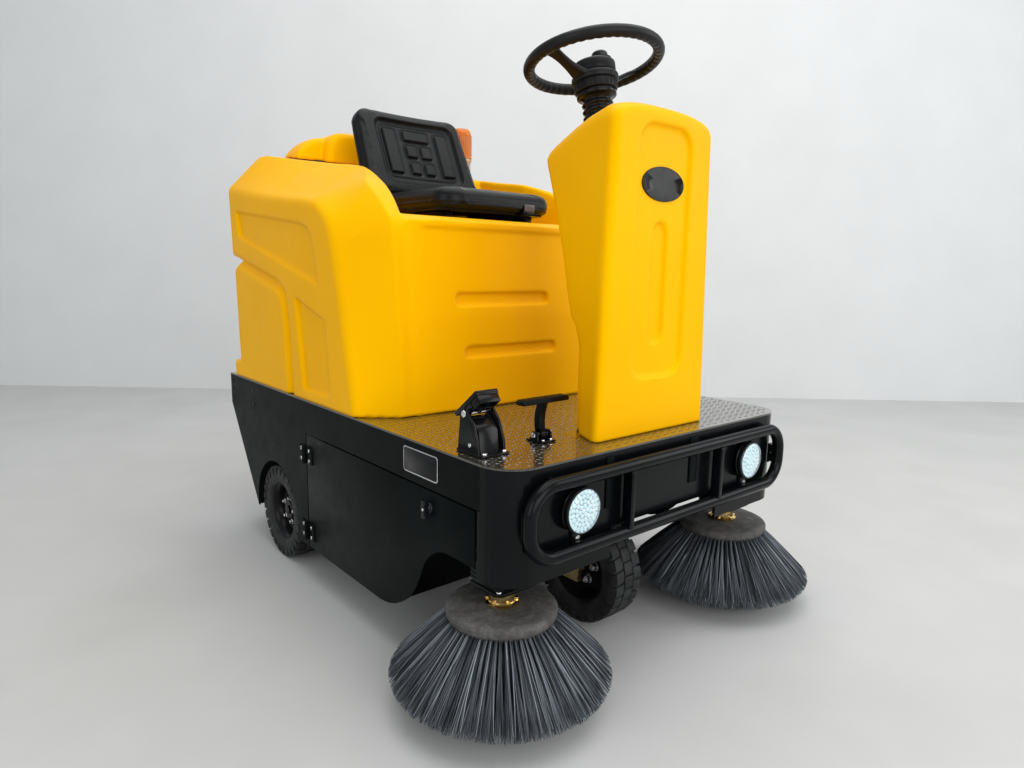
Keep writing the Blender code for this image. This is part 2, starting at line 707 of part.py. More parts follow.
# --- brushes and hopper -----------------------------------------------------------------------
def side_brush(side, name):
    """Brush plate with its hub and the flared skirt of bristles set in its rim, as one turned piece."""
    low = SIDE_DISC_TOP - SIDE_DISC_THICK
    profile = [
        (0, SIDE_DISC_TOP + 0.018), (0.030, SIDE_DISC_TOP + 0.018), (0.036, SIDE_DISC_TOP + 0.004),
        (SIDE_DISC_R - 0.012, SIDE_DISC_TOP), (SIDE_DISC_R, SIDE_DISC_TOP - 0.008), (SIDE_DISC_R, low),
        (SIDE_TIP_R, SIDE_TIP_Z), (SIDE_TIP_R - 0.006, SIDE_TIP_Z - 0.020), (0.165, BRUSH_FLOOR_GAP),
        (0.120, BRUSH_FLOOR_GAP + 0.012), (0.062, low), (0, low),
    ]
    turned(f"side_brush_{name}", profile, (side * SIDE_BRUSH_X, SIDE_BRUSH_Y, 0), (0, 0, 1), "bristle", 28)


def side_motor(side, name):
    """Square gear case with the round motor on top, over the brush hub."""
    x = side * SIDE_BRUSH_X
    low = SIDE_DISC_TOP + 0.018 + GAP
    half = SIDE_CASE_HALF
    motor = box(f"side_brush_motor_{name}", (x - half, SIDE_BRUSH_Y - half, low),
                (x + half, SIDE_BRUSH_Y + half, low + 0.070), "black_plastic")
    join(motor, rod(f"side_motor_can_{name}", (x, SIDE_BRUSH_Y, low + 0.060), (x, SIDE_BRUSH_Y, 0.368), 0.040,
                    "black_plastic", 32))


def side_arm(side, name):
    """Lift arm from the pivot bracket to the side of the gear case."""
    x = side * SIDE_BRUSH_X
    rear = SIDE_BRUSH_Y + SIDE_CASE_HALF + GAP
    outline = [
        (rear, 0.225), (rear, 0.282), (rear + 0.050, 0.345),
        *arc((ARM_PIVOT_Y, ARM_PIVOT_Z), 0.018, 100, -80, 6), (rear + 0.060, 0.300),
    ]
    arm = plate(f"side_brush_arm_{name}", "YZ", outline, x - 0.020, x + 0.020, "black_frame")
    cut(arm, rod(f"arm_bore_{name}", (x - 0.04, ARM_PIVOT_Y, ARM_PIVOT_Z),
                 (x + 0.04, ARM_PIVOT_Y, ARM_PIVOT_Z),
                 0.008 + GAP, "steel", 24))
    set_pivot(arm, (x, ARM_PIVOT_Y, ARM_PIVOT_Z))


MAIN_BRUSH_Z = MAIN_BRUSH_R + BRUSH_FLOOR_GAP
TUNNEL_HALF = MAIN_BRUSH_HALF + 0.012
TUNNEL_TOP = MAIN_BRUSH_Z + MAIN_BRUSH_R + TUNNEL_SPACE


def main_brush():
    """Cylinder brush: core, bristles and shaft ends as one turned piece."""
    half = MAIN_BRUSH_HALF
    shaft = TUNNEL_HALF - GAP
    profile = [
        (0, shaft), (0.014, shaft), (0.014, half), (MAIN_BRUSH_R, half - 0.004),
        (MAIN_BRUSH_R, -half + 0.004), (0.014, -half), (0.014, -shaft), (0, -shaft),
    ]
    turned("main_brush", profile, (0, MAIN_BRUSH_Y, MAIN_BRUSH_Z), (1, 0, 0), "bristle", 28)


def brush_tunnel():
    """Sheet hood over the cylinder brush, open below, with the case of the drive belt on its left."""
    reach = MAIN_BRUSH_R + TUNNEL_SPACE
    wall = TUNNEL_WALL
    half = TUNNEL_HALF
    low = 0.045
    tunnel = box("brush_tunnel", (-half - wall, MAIN_BRUSH_Y - reach - wall, low),
                 (half + wall, MAIN_BRUSH_Y + reach + wall, TUNNEL_TOP + wall), "black_frame")
    cut(tunnel, box("tunnel_space", (-half, MAIN_BRUSH_Y - reach, low - 0.02),
                    (half, MAIN_BRUSH_Y + reach, TUNNEL_TOP), "steel"))
    cut(tunnel, box("tunnel_throat", (-half + 0.03, MAIN_BRUSH_Y + reach - 0.02, 0.120),
                    (half - 0.03, MAIN_BRUSH_Y + reach + 0.02, 0.220), "steel"))
    top = TUNNEL_TOP - 0.010
    belt_case = (arc((MAIN_BRUSH_Y, top - 0.040), 0.040, 0, 180, 8)
                 + arc((MAIN_BRUSH_Y, MAIN_BRUSH_Z), 0.050, 180, 360, 8))
    join(tunnel, plate("belt_case", "YZ", belt_case, half + wall - 0.001, half + wall + 0.028,
                       "black_plastic"))


def tunnel_hanger():
    """Cross-member over the brush, with the two webs that carry the tunnel."""
    member = cross_member("brush_cross_member", MAIN_BRUSH_Y - 0.040, MAIN_BRUSH_Y + 0.040)
    for side in (-1, 1):
        low, high = span(side, 0.200, 0.206)
        join(member, box(f"hanger_web_{side}", (low, MAIN_BRUSH_Y - 0.035, TUNNEL_TOP + TUNNEL_WALL + GAP),
                         (high, MAIN_BRUSH_Y + 0.035, RAIL_LOW + 0.01), "black_frame"))


def brush_motor():
    """Motor of the cylinder brush, lying on the tunnel."""
    z = TUNNEL_TOP + TUNNEL_WALL + GAP + 0.042
    motor = rod("brush_motor", (-0.110, MAIN_BRUSH_Y, z), (0.090, MAIN_BRUSH_Y, z), 0.038,
                "black_plastic", 32)
    join(motor, box("motor_foot", (-0.080, MAIN_BRUSH_Y - 0.030, TUNNEL_TOP + TUNNEL_WALL + GAP),
                    (0.060, MAIN_BRUSH_Y + 0.030, z - 0.015), "black_plastic"))


def hopper():
    """Debris box on the two runners, pulled out to the rear."""
    half = RAIL_INNER - RUNNER_REACH - 0.003
    low = 0.075
    wall = 0.004
    face_y = REAR_Y + 0.006
    bin_box = box("hopper", (-half, HOPPER_FRONT, low), (half, RAIL_REAR + 0.01, HOPPER_TOP), "black_sheet")
    lip = RAIL_INNER - 0.001
    join(bin_box, box("hopper_lip", (-lip, HOPPER_FRONT, RUNNER_TOP + GAP),
                      (lip, RAIL_REAR - 0.01, HOPPER_TOP),
                      "black_sheet"))
    outer = HALF_WIDTH - SHEET - 0.105
    join(bin_box, box("hopper_face", (-outer, RAIL_REAR + 0.005, low), (outer, face_y, HOPPER_FACE_TOP),
                      "black_sheet"))
    cut(bin_box, box("hopper_space", (-half + wall, HOPPER_FRONT - 0.02, low + wall),
                     (half - wall, RAIL_REAR, HOPPER_TOP - wall - HOPPER_LIP), "steel"))
    cut(bin_box, box("hopper_grip", (-0.070, face_y - 0.012, 0.300), (0.070, face_y + 0.01, 0.340), "steel"))
    set_pivot(bin_box, (0, REAR_Y, low))


# --- rear body --------------------------------------------------------------------------------
BODY_LOW = DECK_TOP + GAP
BODY_FOOT = BODY_LOW - 0.008     # lower edge before it is trimmed flat
HOOD_SEAT_Z = RIDGE_Z - TOP_FALL * (BODY_REAR - HOOD_FRONT)


def crest(base, y):
    """Height of a line that falls to the front at the body's slope."""
    return base - TOP_FALL * (BODY_REAR - y)


def side_profile(x, inset, side_top, front_shift, shoulder):
    """Side section of the body through a fender, from the rear foot over the top to the front foot."""
    rear = BODY_REAR - inset
    front = BODY_FRONT + front_shift
    return [
        (x, rear, BODY_FOOT),
        (x, rear - 0.006, 0.800),
        (x, rear - 0.012, crest(side_top, rear) - 0.030),
        (x, rear - 0.040, crest(side_top, rear - 0.040)),
        (x, WELL_RIM_Y, crest(side_top, WELL_RIM_Y)),
        (x, 0.150 + shoulder, crest(side_top, 0.150 + shoulder)),
        (x, 0.060 + shoulder * 0.6, crest(side_top, 0.060) - 0.040),
        (x, front + 0.125, SEAT_DECK_Z - 0.004),
        (x, front + 0.082, 0.860),
        (x, front + 0.045, 0.700),
        (x, front, BODY_FOOT),
    ]


def fender_profile(x, side_top, front_shift):
    """Side section under the crest, where the fender's front slope runs down to the seat deck."""
    front = BODY_FRONT + front_shift
    return [
        (x, BODY_REAR, BODY_FOOT),
        (x, BODY_REAR - 0.004, 0.800),
        (x, BODY_REAR - 0.008, crest(side_top, BODY_REAR) - 0.030),
        (x, BODY_REAR - 0.034, crest(side_top, BODY_REAR - 0.034)),
        (x, WELL_RIM_Y, crest(side_top, WELL_RIM_Y)),
        (x, 0.140, crest(side_top, 0.140)),
        (x, 0.030, crest(side_top, 0.030) - 0.052),
        (x, front + 0.085, SEAT_DECK_Z - 0.006),
        (x, front + 0.020, 0.880),
        (x, front + 0.010, 0.700),
        (x, front, BODY_FOOT),
    ]


def well_profile(x):
    """Side section through the seat well."""
    return [
        (x, BODY_REAR, BODY_FOOT),
        (x, BODY_REAR - 0.004, 0.800),
        (x, BODY_REAR - 0.008, crest(RIDGE_Z, BODY_REAR) - 0.030),
        (x, BODY_REAR - 0.034, crest(RIDGE_Z, BODY_REAR - 0.034)),
        (x, WELL_RIM_Y, crest(RIDGE_Z, WELL_RIM_Y)),
        (x, WELL_BACK_Y, SEAT_DECK_Z),
        (x, 0.120, SEAT_DECK_Z),
        (x, BODY_FRONT + 0.040, SEAT_DECK_Z),
        (x, BODY_FRONT + 0.012, SEAT_DECK_Z - 0.026),
        (x, BODY_FRONT + 0.006, 0.700),
        (x, BODY_FRONT, BODY_FOOT),
    ]


def rear_body():
    """Moulded rear shell: two fenders, the seat well between them and the flat behind the seat."""
    rows = [
        well_profile(0),
        well_profile(SEAT_WELL_X - 0.010),
        fender_profile(RIDGE_X - 0.004, RIDGE_Z, 0.010),
        fender_profile(RIDGE_X + 0.020, RIDGE_Z, 0.014),
        side_profile(HALF_WIDTH - 0.075, 0.002, RIDGE_Z - 0.052, 0.022, 0.0),
        side_profile(HALF_WIDTH - 0.022, 0.004, BODY_SIDE_TOP + 0.012, 0.058, -0.010),
        side_profile(HALF_WIDTH, 0.006, BODY_SIDE_TOP - 0.012, 0.085, -0.015),
    ]
    shell = skin("rear_body", rows, BODY_WALL, "yellow_shell", end_faces=(-1,))
    trim_foot(shell, BODY_LOW)
    hatch_half = HOOD_HALF - 0.060
    cut(shell, box("hood_hatch", (-hatch_half, HOOD_FRONT + 0.050, HOOD_SEAT_Z - 0.10),
                   (hatch_half, HOOD_REAR - 0.040, HOOD_SEAT_Z + 0.20), "steel"))


def hood():
    """Domed cover behind the seat, over the dust filter."""
    seat = GAP * 2
    front_z = crest(RIDGE_Z, HOOD_FRONT) + seat
    rear_z = crest(RIDGE_Z, HOOD_REAR) + seat
    rows = []
    for inset, rise in ((0.0, -0.1), (0.012, 0.35), (0.040, 0.80), (0.080, 1.0)):
        half = HOOD_HALF - inset
        front = HOOD_FRONT + inset * 0.8
        rear = HOOD_REAR - inset * 0.6
        lift = HOOD_HIGH * rise
        rows.append([(0, rear, rear_z + lift), (half * 0.7, rear, rear_z + lift),
                     (half, rear - 0.020, rear_z + lift - 0.002),
                     (half, front + 0.020, front_z + lift + 0.002),
                     (half * 0.7, front, front_z + lift), (0, front, front_z + lift)])
    cover = skin("filter_hood", rows, 0.004, "yellow_shell", end_faces=(-1,))
    trim_foot(cover, crest(RIDGE_Z, 0) + seat, TOP_FALL)
    set_pivot(cover, (0, HOOD_REAR + 0.004, rear_z))


def dust_filter():
    """Pleated filter box that hangs by its lip in the hatch under the hood."""
    half = HOOD_HALF - 0.060 - 0.004
    front, rear = HOOD_FRONT + 0.054, HOOD_REAR - 0.044
    middle = (front + rear) / 2
    reach = (rear - front) / 2
    element = box("dust_filter", (-half, -reach, -0.110), (half, reach, 0.002), "battery_case")
    join(element, box("filter_lip", (-half - 0.012, -reach - 0.010, GAP * 1.5),
                      (half + 0.012, reach + 0.010, 0.004),
                      "battery_case"))
    slope = Matrix.Rotation(math.atan(TOP_FALL), 4, "X")
    place = Matrix.Translation((0, middle, crest(RIDGE_Z, middle))) @ slope
    element.matrix_world = place
    bpy.data.objects["filter_lip"].matrix_world = place


def beacon():
    """Flashing beacon on its foot, on the flat behind the seat."""
    centre = (BEACON_X, BEACON_Y, crest(RIDGE_Z, BEACON_Y - BEACON_R) + GAP)
    slant = TOP_FALL * BEACON_R * 2
    base = [(0, BEACON_FOOT), (0.026, BEACON_FOOT), (0.028, 0.012), (BEACON_R, 0.008), (BEACON_R, -slant),
            (0, -slant)]
    foot = turned("beacon_base", base, centre, (0, 0, 1), "clear_lens", 20)
    block = box("beacon_trim", (-0.1, -0.1, -0.1), (0.1, 0.1, 0), "steel")
    block.matrix_world = (Matrix.Translation((BEACON_X, BEACON_Y, crest(RIDGE_Z, BEACON_Y) + GAP * 2))
                          @ Matrix.Rotation(math.atan(TOP_FALL), 4, "X"))
    cut(foot, block)
    lens = [(0, 0.094), (0.028, 0.092), (0.033, 0.086), (0.035, 0.0), (0, 0.0)]
    top = (BEACON_X, BEACON_Y, centre[2] + BEACON_FOOT + GAP)
    turned("beacon_lens", lens, top, (0, 0, 1), "amber_lens", 20)


# --- power ------------------------------------------------------------------------------------
def battery():
    box("battery", (-0.180, 0.020, DECK_TOP + GAP), (0.180, 0.340, DECK_TOP + 0.240), "battery_case")


def motor_controller():
    box("motor_controller", (-0.120, -0.120, DECK_TOP + GAP), (0.060, -0.020, DECK_TOP + 0.070), "steel")


def vacuum_fan():
    """Suction fan behind the batteries: round case with its outlet."""
    y, z = 0.490, DECK_TOP + GAP
    fan = rod("vacuum_fan", (0, y, z), (0, y, z + 0.110), 0.095, "black_plastic", 32)
    join(fan, box("fan_outlet", (0.040, y - 0.030, z + 0.030), (0.180, y + 0.050, z + 0.090),
                  "black_plastic"))


# --- seat -------------------------------------------------------------------------------------
SLIDE_TOP = CUSHION_LOW - GAP


def seat_slide():
    """Pair of slide rails on a plate, bolted to the seat deck."""
    slide = box("seat_slide", (-0.150, 0.000, SEAT_DECK_Z + 0.004), (0.150, 0.260, SEAT_DECK_Z + 0.010),
                "black_frame")
    for side in (-1, 1):
        low, high = span(side, 0.105, 0.140)
        join(slide, box(f"slide_rail_{side}", (low, 0.005, SEAT_DECK_Z + GAP), (high, 0.255, SLIDE_TOP),
                        "black_frame"))


def seat_cushion():
    """Padded cushion with rounded front corners."""
    radius = 0.050
    half = SEAT_HALF
    outline = (arc((-half + radius, SEAT_FRONT + radius), radius, 180, 270, 6)
               + arc((half - radius, SEAT_FRONT + radius), radius, 270, 360, 6)
               + [(half, SEAT_BACK), (-half, SEAT_BACK)])
    cushion = plate("seat_cushion", "XY", outline, CUSHION_LOW, CUSHION_LOW + CUSHION_THICK, "black_vinyl")
    bevel = cushion.modifiers.new("rounding", "BEVEL")
    bevel.width = 0.014
    bevel.segments = 2
    bevel.limit_method = "ANGLE"
    bevel.angle_limit = math.radians(60)


def seat_backrest():
    """Backrest leaning on its lower edge, just above the cushion's rear edge."""
    radius = 0.040
    half = SEAT_HALF
    high = BACKREST_HIGH
    outline = ([(-half, 0), (half, 0)]
               + arc((half - radius, high - radius), radius, 0, 90, 6)
               + arc((-half + radius, high - radius), radius, 90, 180, 6))
    back = plate("seat_backrest", "XZ", outline, 0, BACKREST_THICK, "black_vinyl")
    drop = BACKREST_THICK * math.sin(BACKREST_LEAN)
    foot = (0, SEAT_BACK - 0.052, CUSHION_LOW + CUSHION_THICK + drop)
    lean = Matrix.Translation(Vector(foot)) @ Matrix.Rotation(-BACKREST_LEAN, 4, "X")
    back.data.transform(lean)
    bevel = back.modifiers.new("rounding", "BEVEL")
    bevel.width = 0.012
    bevel.segments = 2
    bevel.limit_method = "ANGLE"
    bevel.angle_limit = math.radians(60)


# --- steering ---------------------------------------------------------------------------------
COWL_LOW = DECK_TOP + GAP
COWL_FOOT = COWL_LOW - 0.006     # lower edge before it is trimmed flat
COWL_LEVELS = (0.0, 0.34, 0.62, 0.82, 0.95, 1.0)


def cowl_edge(y):
    """Height of the cowl's upper edge."""
    return COWL_TOP_Z + COWL_TOP_RISE * (COWL_TOP_REAR - y)


def cowl_row(level, inset, lift):
    """Half plan outline of the cowl, from the middle of its rear to the middle of its front."""
    lean = (COWL_TOP_REAR - COWL_FOOT_REAR) * level ** 1.8
    rear = COWL_FOOT_REAR + lean - inset
    front = COWL_FRONT + inset
    corner = 0.040
    half = COWL_HALF - inset
    rear_half = COWL_REAR_HALF - inset
    plan = [
        (0, rear), (rear_half - 0.025, rear), (rear_half, rear - 0.022), (half, front + corner),
        (half - 0.3 * corner, front + 0.3 * corner), (half - corner, front), (0, front),
    ]
    return [(x, y, COWL_FOOT + (cowl_edge(y) - COWL_FOOT) * level + lift) for x, y in plan]


def steering_cowl():
    """Moulded cowl round the steering column, open below."""
    rows = [cowl_row(level, 0.0, 0.0) for level in COWL_LEVELS]
    rows.append(cowl_row(1.0, 0.014, 0.014))
    rows.append(cowl_row(1.0, 0.044, COWL_CROWN))
    cowl = skin("steering_cowl", rows, COWL_WALL, "yellow_shell", end_faces=(-1,))
    trim_foot(cowl, COWL_LOW)
    cut(cowl, rod("boot_hole", on_column(-0.26), on_column(-0.08), BELLOWS_R + 0.0005, "steel", 32))
    deck_reach = (COWL_LOW - WHEEL_Z) / COLUMN_AXIS.z
    cut(cowl, rod("shaft_way", on_column(deck_reach - 0.02), on_column(-0.24), SHAFT_R + PLAY, "steel", 24))


HUB_LOW = -HUB_DROP - 0.034      # underside of the hub on the column


def steering_wheel():
    """Rim, two flat spokes and hub on the column's axis."""
    frame = (Matrix.Translation(WHEEL_CENTRE) @ Matrix.Rotation(-WHEEL_TILT, 4, "X"))
    ring_points = [frame @ Vector((*point, 0)) for point in arc((0, 0), STEER_R, 0, 348.75, 31)]
    wheel = pipe("steering_wheel", ring_points, STEER_RIM_R, "black_plastic", closed=True, sides_level=2)
    spoke = [
        (-STEER_R, -0.002), (-STEER_R, 0.006), (-0.035, -HUB_DROP + 0.012), (0.035, -HUB_DROP + 0.012),
        (STEER_R, 0.006), (STEER_R, -0.002), (0.035, -HUB_DROP), (-0.035, -HUB_DROP),
    ]
    spokes = plate("wheel_spokes", "XZ", spoke, -0.019, 0.019, "black_plastic")
    spokes.data.transform(frame)
    join(wheel, spokes)
    join(wheel, rod("wheel_hub", on_column(HUB_LOW), on_column(-0.004), 0.031, "black_plastic", 32))
    join(wheel, rod("hub_flange", on_column(HUB_LOW), on_column(HUB_LOW + 0.022), 0.040,
                    "black_plastic", 32))
    set_pivot(wheel, WHEEL_CENTRE)


def hub_cap():
    """Domed cap over the nut in the middle of the hub."""
    radius = 0.0225
    dome = [(radius * math.sin(math.radians(a)), 0.006 + 0.016 * math.cos(math.radians(a)))
            for a in range(0, 91, 30)]
    profile = dome + [(radius, 0), (0, 0)]
    turned("hub_cap", profile, on_column(-0.004 + GAP), COLUMN_AXIS, "black_plastic", 20)


def steering_shaft():
    """Shaft of the tilted column, from the hub down through the deck to the small sprocket."""
    top = on_column(HUB_LOW - GAP)
    foot = on_column((CHAIN_Z - WHEEL_Z) / COLUMN_AXIS.z)
    shaft = rod("steering_shaft", foot - COLUMN_AXIS * 0.008, top, SHAFT_R, "steel", 24)
    join(shaft, rod("shaft_sprocket", foot - COLUMN_AXIS * 0.002, foot + COLUMN_AXIS * 0.002,
                    FORK_SPROCKET_R / STEERING_RATIO, "steel", 24))
    set_pivot(shaft, top)


def steering_chain():
    """Roller chain round the two sprockets, as a plain loop."""
    small_y = on_column((CHAIN_Z - WHEEL_Z) / COLUMN_AXIS.z).y
    small = FORK_SPROCKET_R / STEERING_RATIO
    span_y = FRONT_WHEEL_Y - small_y
    flank = math.degrees(math.asin((FORK_SPROCKET_R - small) / span_y))

    def loop(extra):
        rear = arc((0, span_y / 2), FORK_SPROCKET_R + extra, -flank, 180 + flank, 16)
        front = arc((0, -span_y / 2), small + extra, 180 + flank, 360 - flank, 12)
        return rear + front

    chain = plate("steering_chain", "XY", loop(CHAIN_PLAY + 0.006), -CHAIN_HIGH / 2, CHAIN_HIGH / 2, "steel")
    space = plate("chain_space", "XY", loop(CHAIN_PLAY), -CHAIN_HIGH, CHAIN_HIGH, "steel")
    cut(chain, space)
    chain.location = space.location = (0, (FRONT_WHEEL_Y + small_y) / 2, CHAIN_Z)


def column_bellows():
    """Ribbed boot from the hole in the cowl to the collar under the hub."""
    length = 0.112
    collar = 0.012
    ribs = 6
    bore = SHAFT_R + GAP * 1.5
    profile = [(bore, length + collar), (0.036, length + collar), (0.036, length + 0.002)]
    for rib in range(ribs):
        height = length * (1 - rib / ribs)
        profile.append((BELLOWS_R, height))
        profile.append((BELLOWS_R - 0.005, height - length / ribs * 0.5))
    profile += [(BELLOWS_R, 0.0), (0.016, 0.0), (0.016, length), (bore, length)]
    foot = on_column(HUB_LOW - GAP - length - collar)
    turned("column_bellows", profile, foot, COLUMN_AXIS, "black_plastic", 16, closed=True)


PANEL_TILT = math.atan(COWL_TOP_RISE)
PANEL_CENTRE_Y = -0.470


def dash_point(across, along, above):
    """Point on the sloping dash: across to the left, along to the rear, above its face."""
    centre = Vector((0, PANEL_CENTRE_Y, cowl_edge(PANEL_CENTRE_Y) + COWL_CROWN + GAP * 2))
    return centre + Matrix.Rotation(-PANEL_TILT, 3, "X") @ Vector((across, along, above))


DASH_THICK = 0.010
DASH_HOLE_KEY = 0.060
DASH_HOLE_STOP = -0.060


def control_panel():
    """Dash on top of the cowl with holes for the key switch and the stop button."""
    outline = [(-0.095, -0.038), (0.095, -0.038), (0.095, 0.038), (-0.095, 0.038)]
    dash = plate("control_panel", "XY", outline, 0.0, DASH_THICK, "black_plastic")
    dash.data.transform(Matrix.Translation(dash_point(0, 0, 0)) @ Matrix.Rotation(-PANEL_TILT, 4, "X"))
    for name, across, radius in (("key_hole", DASH_HOLE_KEY, 0.011), ("stop_hole", DASH_HOLE_STOP, 0.011)):
        cut(dash, rod(name, dash_point(across, 0, 0.003), dash_point(across, 0, 0.02), radius + GAP,
                      "steel", 24))


def key_switch():
    """Key with its round barrel, turned in the dash."""
    key = rod("key_switch", dash_point(DASH_HOLE_KEY, 0, 0.003 + GAP),
              dash_point(DASH_HOLE_KEY, 0, 0.014), 0.011,
              "steel", 24)
    bow = box("key_bow", (-0.0015, -0.010, 0.010), (0.0015, 0.010, 0.034), "steel")
    tilt = Matrix.Rotation(-PANEL_TILT, 4, "X")
    bow.data.transform(Matrix.Translation(dash_point(DASH_HOLE_KEY, 0, 0)) @ tilt)
    join(key, bow)
    set_pivot(key, dash_point(DASH_HOLE_KEY, 0, DASH_THICK))


def stop_button():
    """Mushroom button of the emergency stop, with the room that it needs to go down."""
    button = rod("stop_button", dash_point(DASH_HOLE_STOP, 0, 0.008),
                 dash_point(DASH_HOLE_STOP, 0, 0.022), 0.011,
                 "red_plastic", 24)
    join(button, rod("stop_mushroom", dash_point(DASH_HOLE_STOP, 0, 0.018),
                     dash_point(DASH_HOLE_STOP, 0, 0.032),
                     0.019, "red_plastic", 32))
    set_pivot(button, dash_point(DASH_HOLE_STOP, 0, DASH_THICK))


# --- front guard and lamps --------------------------------------------------------------------
def front_guard():
    """Tube guard: closed hoop, two upright bars and four short stays back to the front panel."""
    r = GUARD_CORNER_R
    left, low, top = GUARD_HALF - GUARD_TUBE_R, GUARD_LOW, GUARD_TOP
    loop = (arc((left - r, low + r), r, 270, 360, 6) + arc((left - r, top - r), r, 0, 90, 6)
            + arc((-left + r, top - r), r, 90, 180, 6) + arc((-left + r, low + r), r, 180, 270, 6))
    guard = pipe("front_guard", [(x, GUARD_Y, z) for x, z in loop], GUARD_TUBE_R, "black_frame", closed=True)
    for side in (-1, 1):
        x = side * GUARD_BAR_X
        join(guard, rod(f"guard_bar_{side}", (x, GUARD_Y, low), (x, GUARD_Y, top), GUARD_TUBE_R - 0.001,
                        "black_frame", 12))
        for height in (low + r, top - r):
            stay_x = side * (left - GUARD_TUBE_R / 2)
            join(guard, box(f"guard_stay_{side}_{height:.2f}", (stay_x - 0.005, GUARD_Y, height - 0.008),
                            (stay_x + 0.005, FRONT_Y - GAP, height + 0.008), "black_frame"))


def headlamp(side, name):
    """Round lamp: housing behind, lens in front, on a foot that is screwed to the front panel."""
    x = side * LAMP_X
    housing_front = LAMP_FACE_Y + 0.008
    housing = rod(f"headlamp_{name}", (x, housing_front, LAMP_Z), (x, FRONT_Y - GAP, LAMP_Z), LAMP_R,
                  "black_plastic", 24)
    join(housing, box(f"lamp_foot_{name}", (x - 0.012, FRONT_Y - 0.006, LAMP_Z - LAMP_R - 0.022),
                      (x + 0.012, FRONT_Y - GAP, LAMP_Z - LAMP_R + 0.010), "black_plastic"))
    lens = [(0, LAMP_R * 0.16), (LAMP_R * 0.55, LAMP_R * 0.11), (LAMP_R * 0.94, 0.0),
            (LAMP_R * 0.94, -0.003), (0, -0.003)]
    turned(f"headlamp_lens_{name}", lens, (x, housing_front - GAP - 0.003, LAMP_Z), (0, -1, 0),
           "clear_lens", 24)


# --- pedals -----------------------------------------------------------------------------------
GAS_PIVOT = (GAS_X, GAS_Y - 0.006, DECK_TOP + 0.072)
BRAKE_PIVOT_Z = DECK_TOP + 0.014


def accelerator():
    """Pedal box on the deck with its tilting pad on top."""
    y = GAS_Y
    low = DECK_TOP + GAP
    outline = [
        (y - 0.062, low), (y + 0.055, low), (y + 0.055, low + 0.012), (y + 0.016, low + 0.020),
        (y + 0.006, low + 0.058), (y - 0.020, low + 0.058), (y - 0.048, low + 0.020),
        (y - 0.062, low + 0.012),
    ]
    base = plate("accelerator_base", "YZ", outline, GAS_X - 0.032, GAS_X + 0.032, "black_plastic")
    pivot = Vector(GAS_PIVOT)
    for number, offset in enumerate((-0.032, 0.026)):
        join(base, box(f"pedal_ear_{number}", (GAS_X + offset, pivot.y - 0.009, low + 0.050),
                       (GAS_X + offset + 0.006, pivot.y + 0.009, pivot.z + 0.008), "black_plastic"))
    join(base, rod("pedal_pin", (GAS_X - 0.029, pivot.y, pivot.z), (GAS_X + 0.029, pivot.y, pivot.z), 0.004,
                   "steel", 16))
    pad = plate("accelerator_pedal", "YZ", [
        (pivot.y + 0.036, pivot.z - 0.014), (pivot.y + 0.038, pivot.z - 0.008),
        (pivot.y - 0.030, pivot.z + 0.046),
        (pivot.y - 0.036, pivot.z + 0.041), (pivot.y - 0.008, pivot.z - 0.006),
        (pivot.y + 0.008, pivot.z - 0.009),
    ], GAS_X - 0.0255, GAS_X + 0.0255, "black_plastic")
    cut(pad, rod("pad_bore", (GAS_X - 0.04, pivot.y, pivot.z), (GAS_X + 0.04, pivot.y, pivot.z), 0.004 + GAP,
                 "steel", 16))
    set_pivot(pad, pivot)


def brake():
    """Brake lever: post out of a slot bracket on the deck, with its cross bar."""
    low = DECK_TOP + GAP
    bracket = box("brake_bracket", (BRAKE_X - 0.020, BRAKE_Y - 0.022, low), (BRAKE_X + 0.020, BRAKE_Y + 0.022,
                  low + 0.004), "black_frame")
    for number, offset in enumerate((-0.020, 0.014)):
        join(bracket, box(f"brake_ear_{number}", (BRAKE_X + offset, BRAKE_Y - 0.012, low + 0.002),
                          (BRAKE_X + offset + 0.006, BRAKE_Y + 0.012, BRAKE_PIVOT_Z + 0.008), "black_frame"))
    join(bracket, rod("brake_pin", (BRAKE_X - 0.017, BRAKE_Y, BRAKE_PIVOT_Z),
                      (BRAKE_X + 0.017, BRAKE_Y, BRAKE_PIVOT_Z), 0.004, "steel", 16))
    post = [
        (BRAKE_Y + 0.007, BRAKE_PIVOT_Z - 0.007), (BRAKE_Y + 0.010, BRAKE_PIVOT_Z + 0.035),
        (BRAKE_Y + 0.005, BRAKE_PIVOT_Z + 0.068), (BRAKE_Y - 0.008, BRAKE_PIVOT_Z + 0.068),
        (BRAKE_Y - 0.003, BRAKE_PIVOT_Z + 0.035), (BRAKE_Y - 0.007, BRAKE_PIVOT_Z - 0.007),
    ]
    lever = plate("brake_pedal", "YZ", post, BRAKE_X - 0.0075, BRAKE_X + 0.0075, "black_frame")
    join(lever, box("brake_bar", (BRAKE_X - 0.060, BRAKE_Y - 0.016, BRAKE_PIVOT_Z + 0.062),
                    (BRAKE_X + 0.060, BRAKE_Y + 0.010, BRAKE_PIVOT_Z + 0.074), "black_frame"))
    cut(lever, rod("brake_bore", (BRAKE_X - 0.03, BRAKE_Y, BRAKE_PIVOT_Z),
                   (BRAKE_X + 0.03, BRAKE_Y, BRAKE_PIVOT_Z),
                   0.004 + GAP, "steel", 16))
    set_pivot(lever, (BRAKE_X, BRAKE_Y, BRAKE_PIVOT_Z))


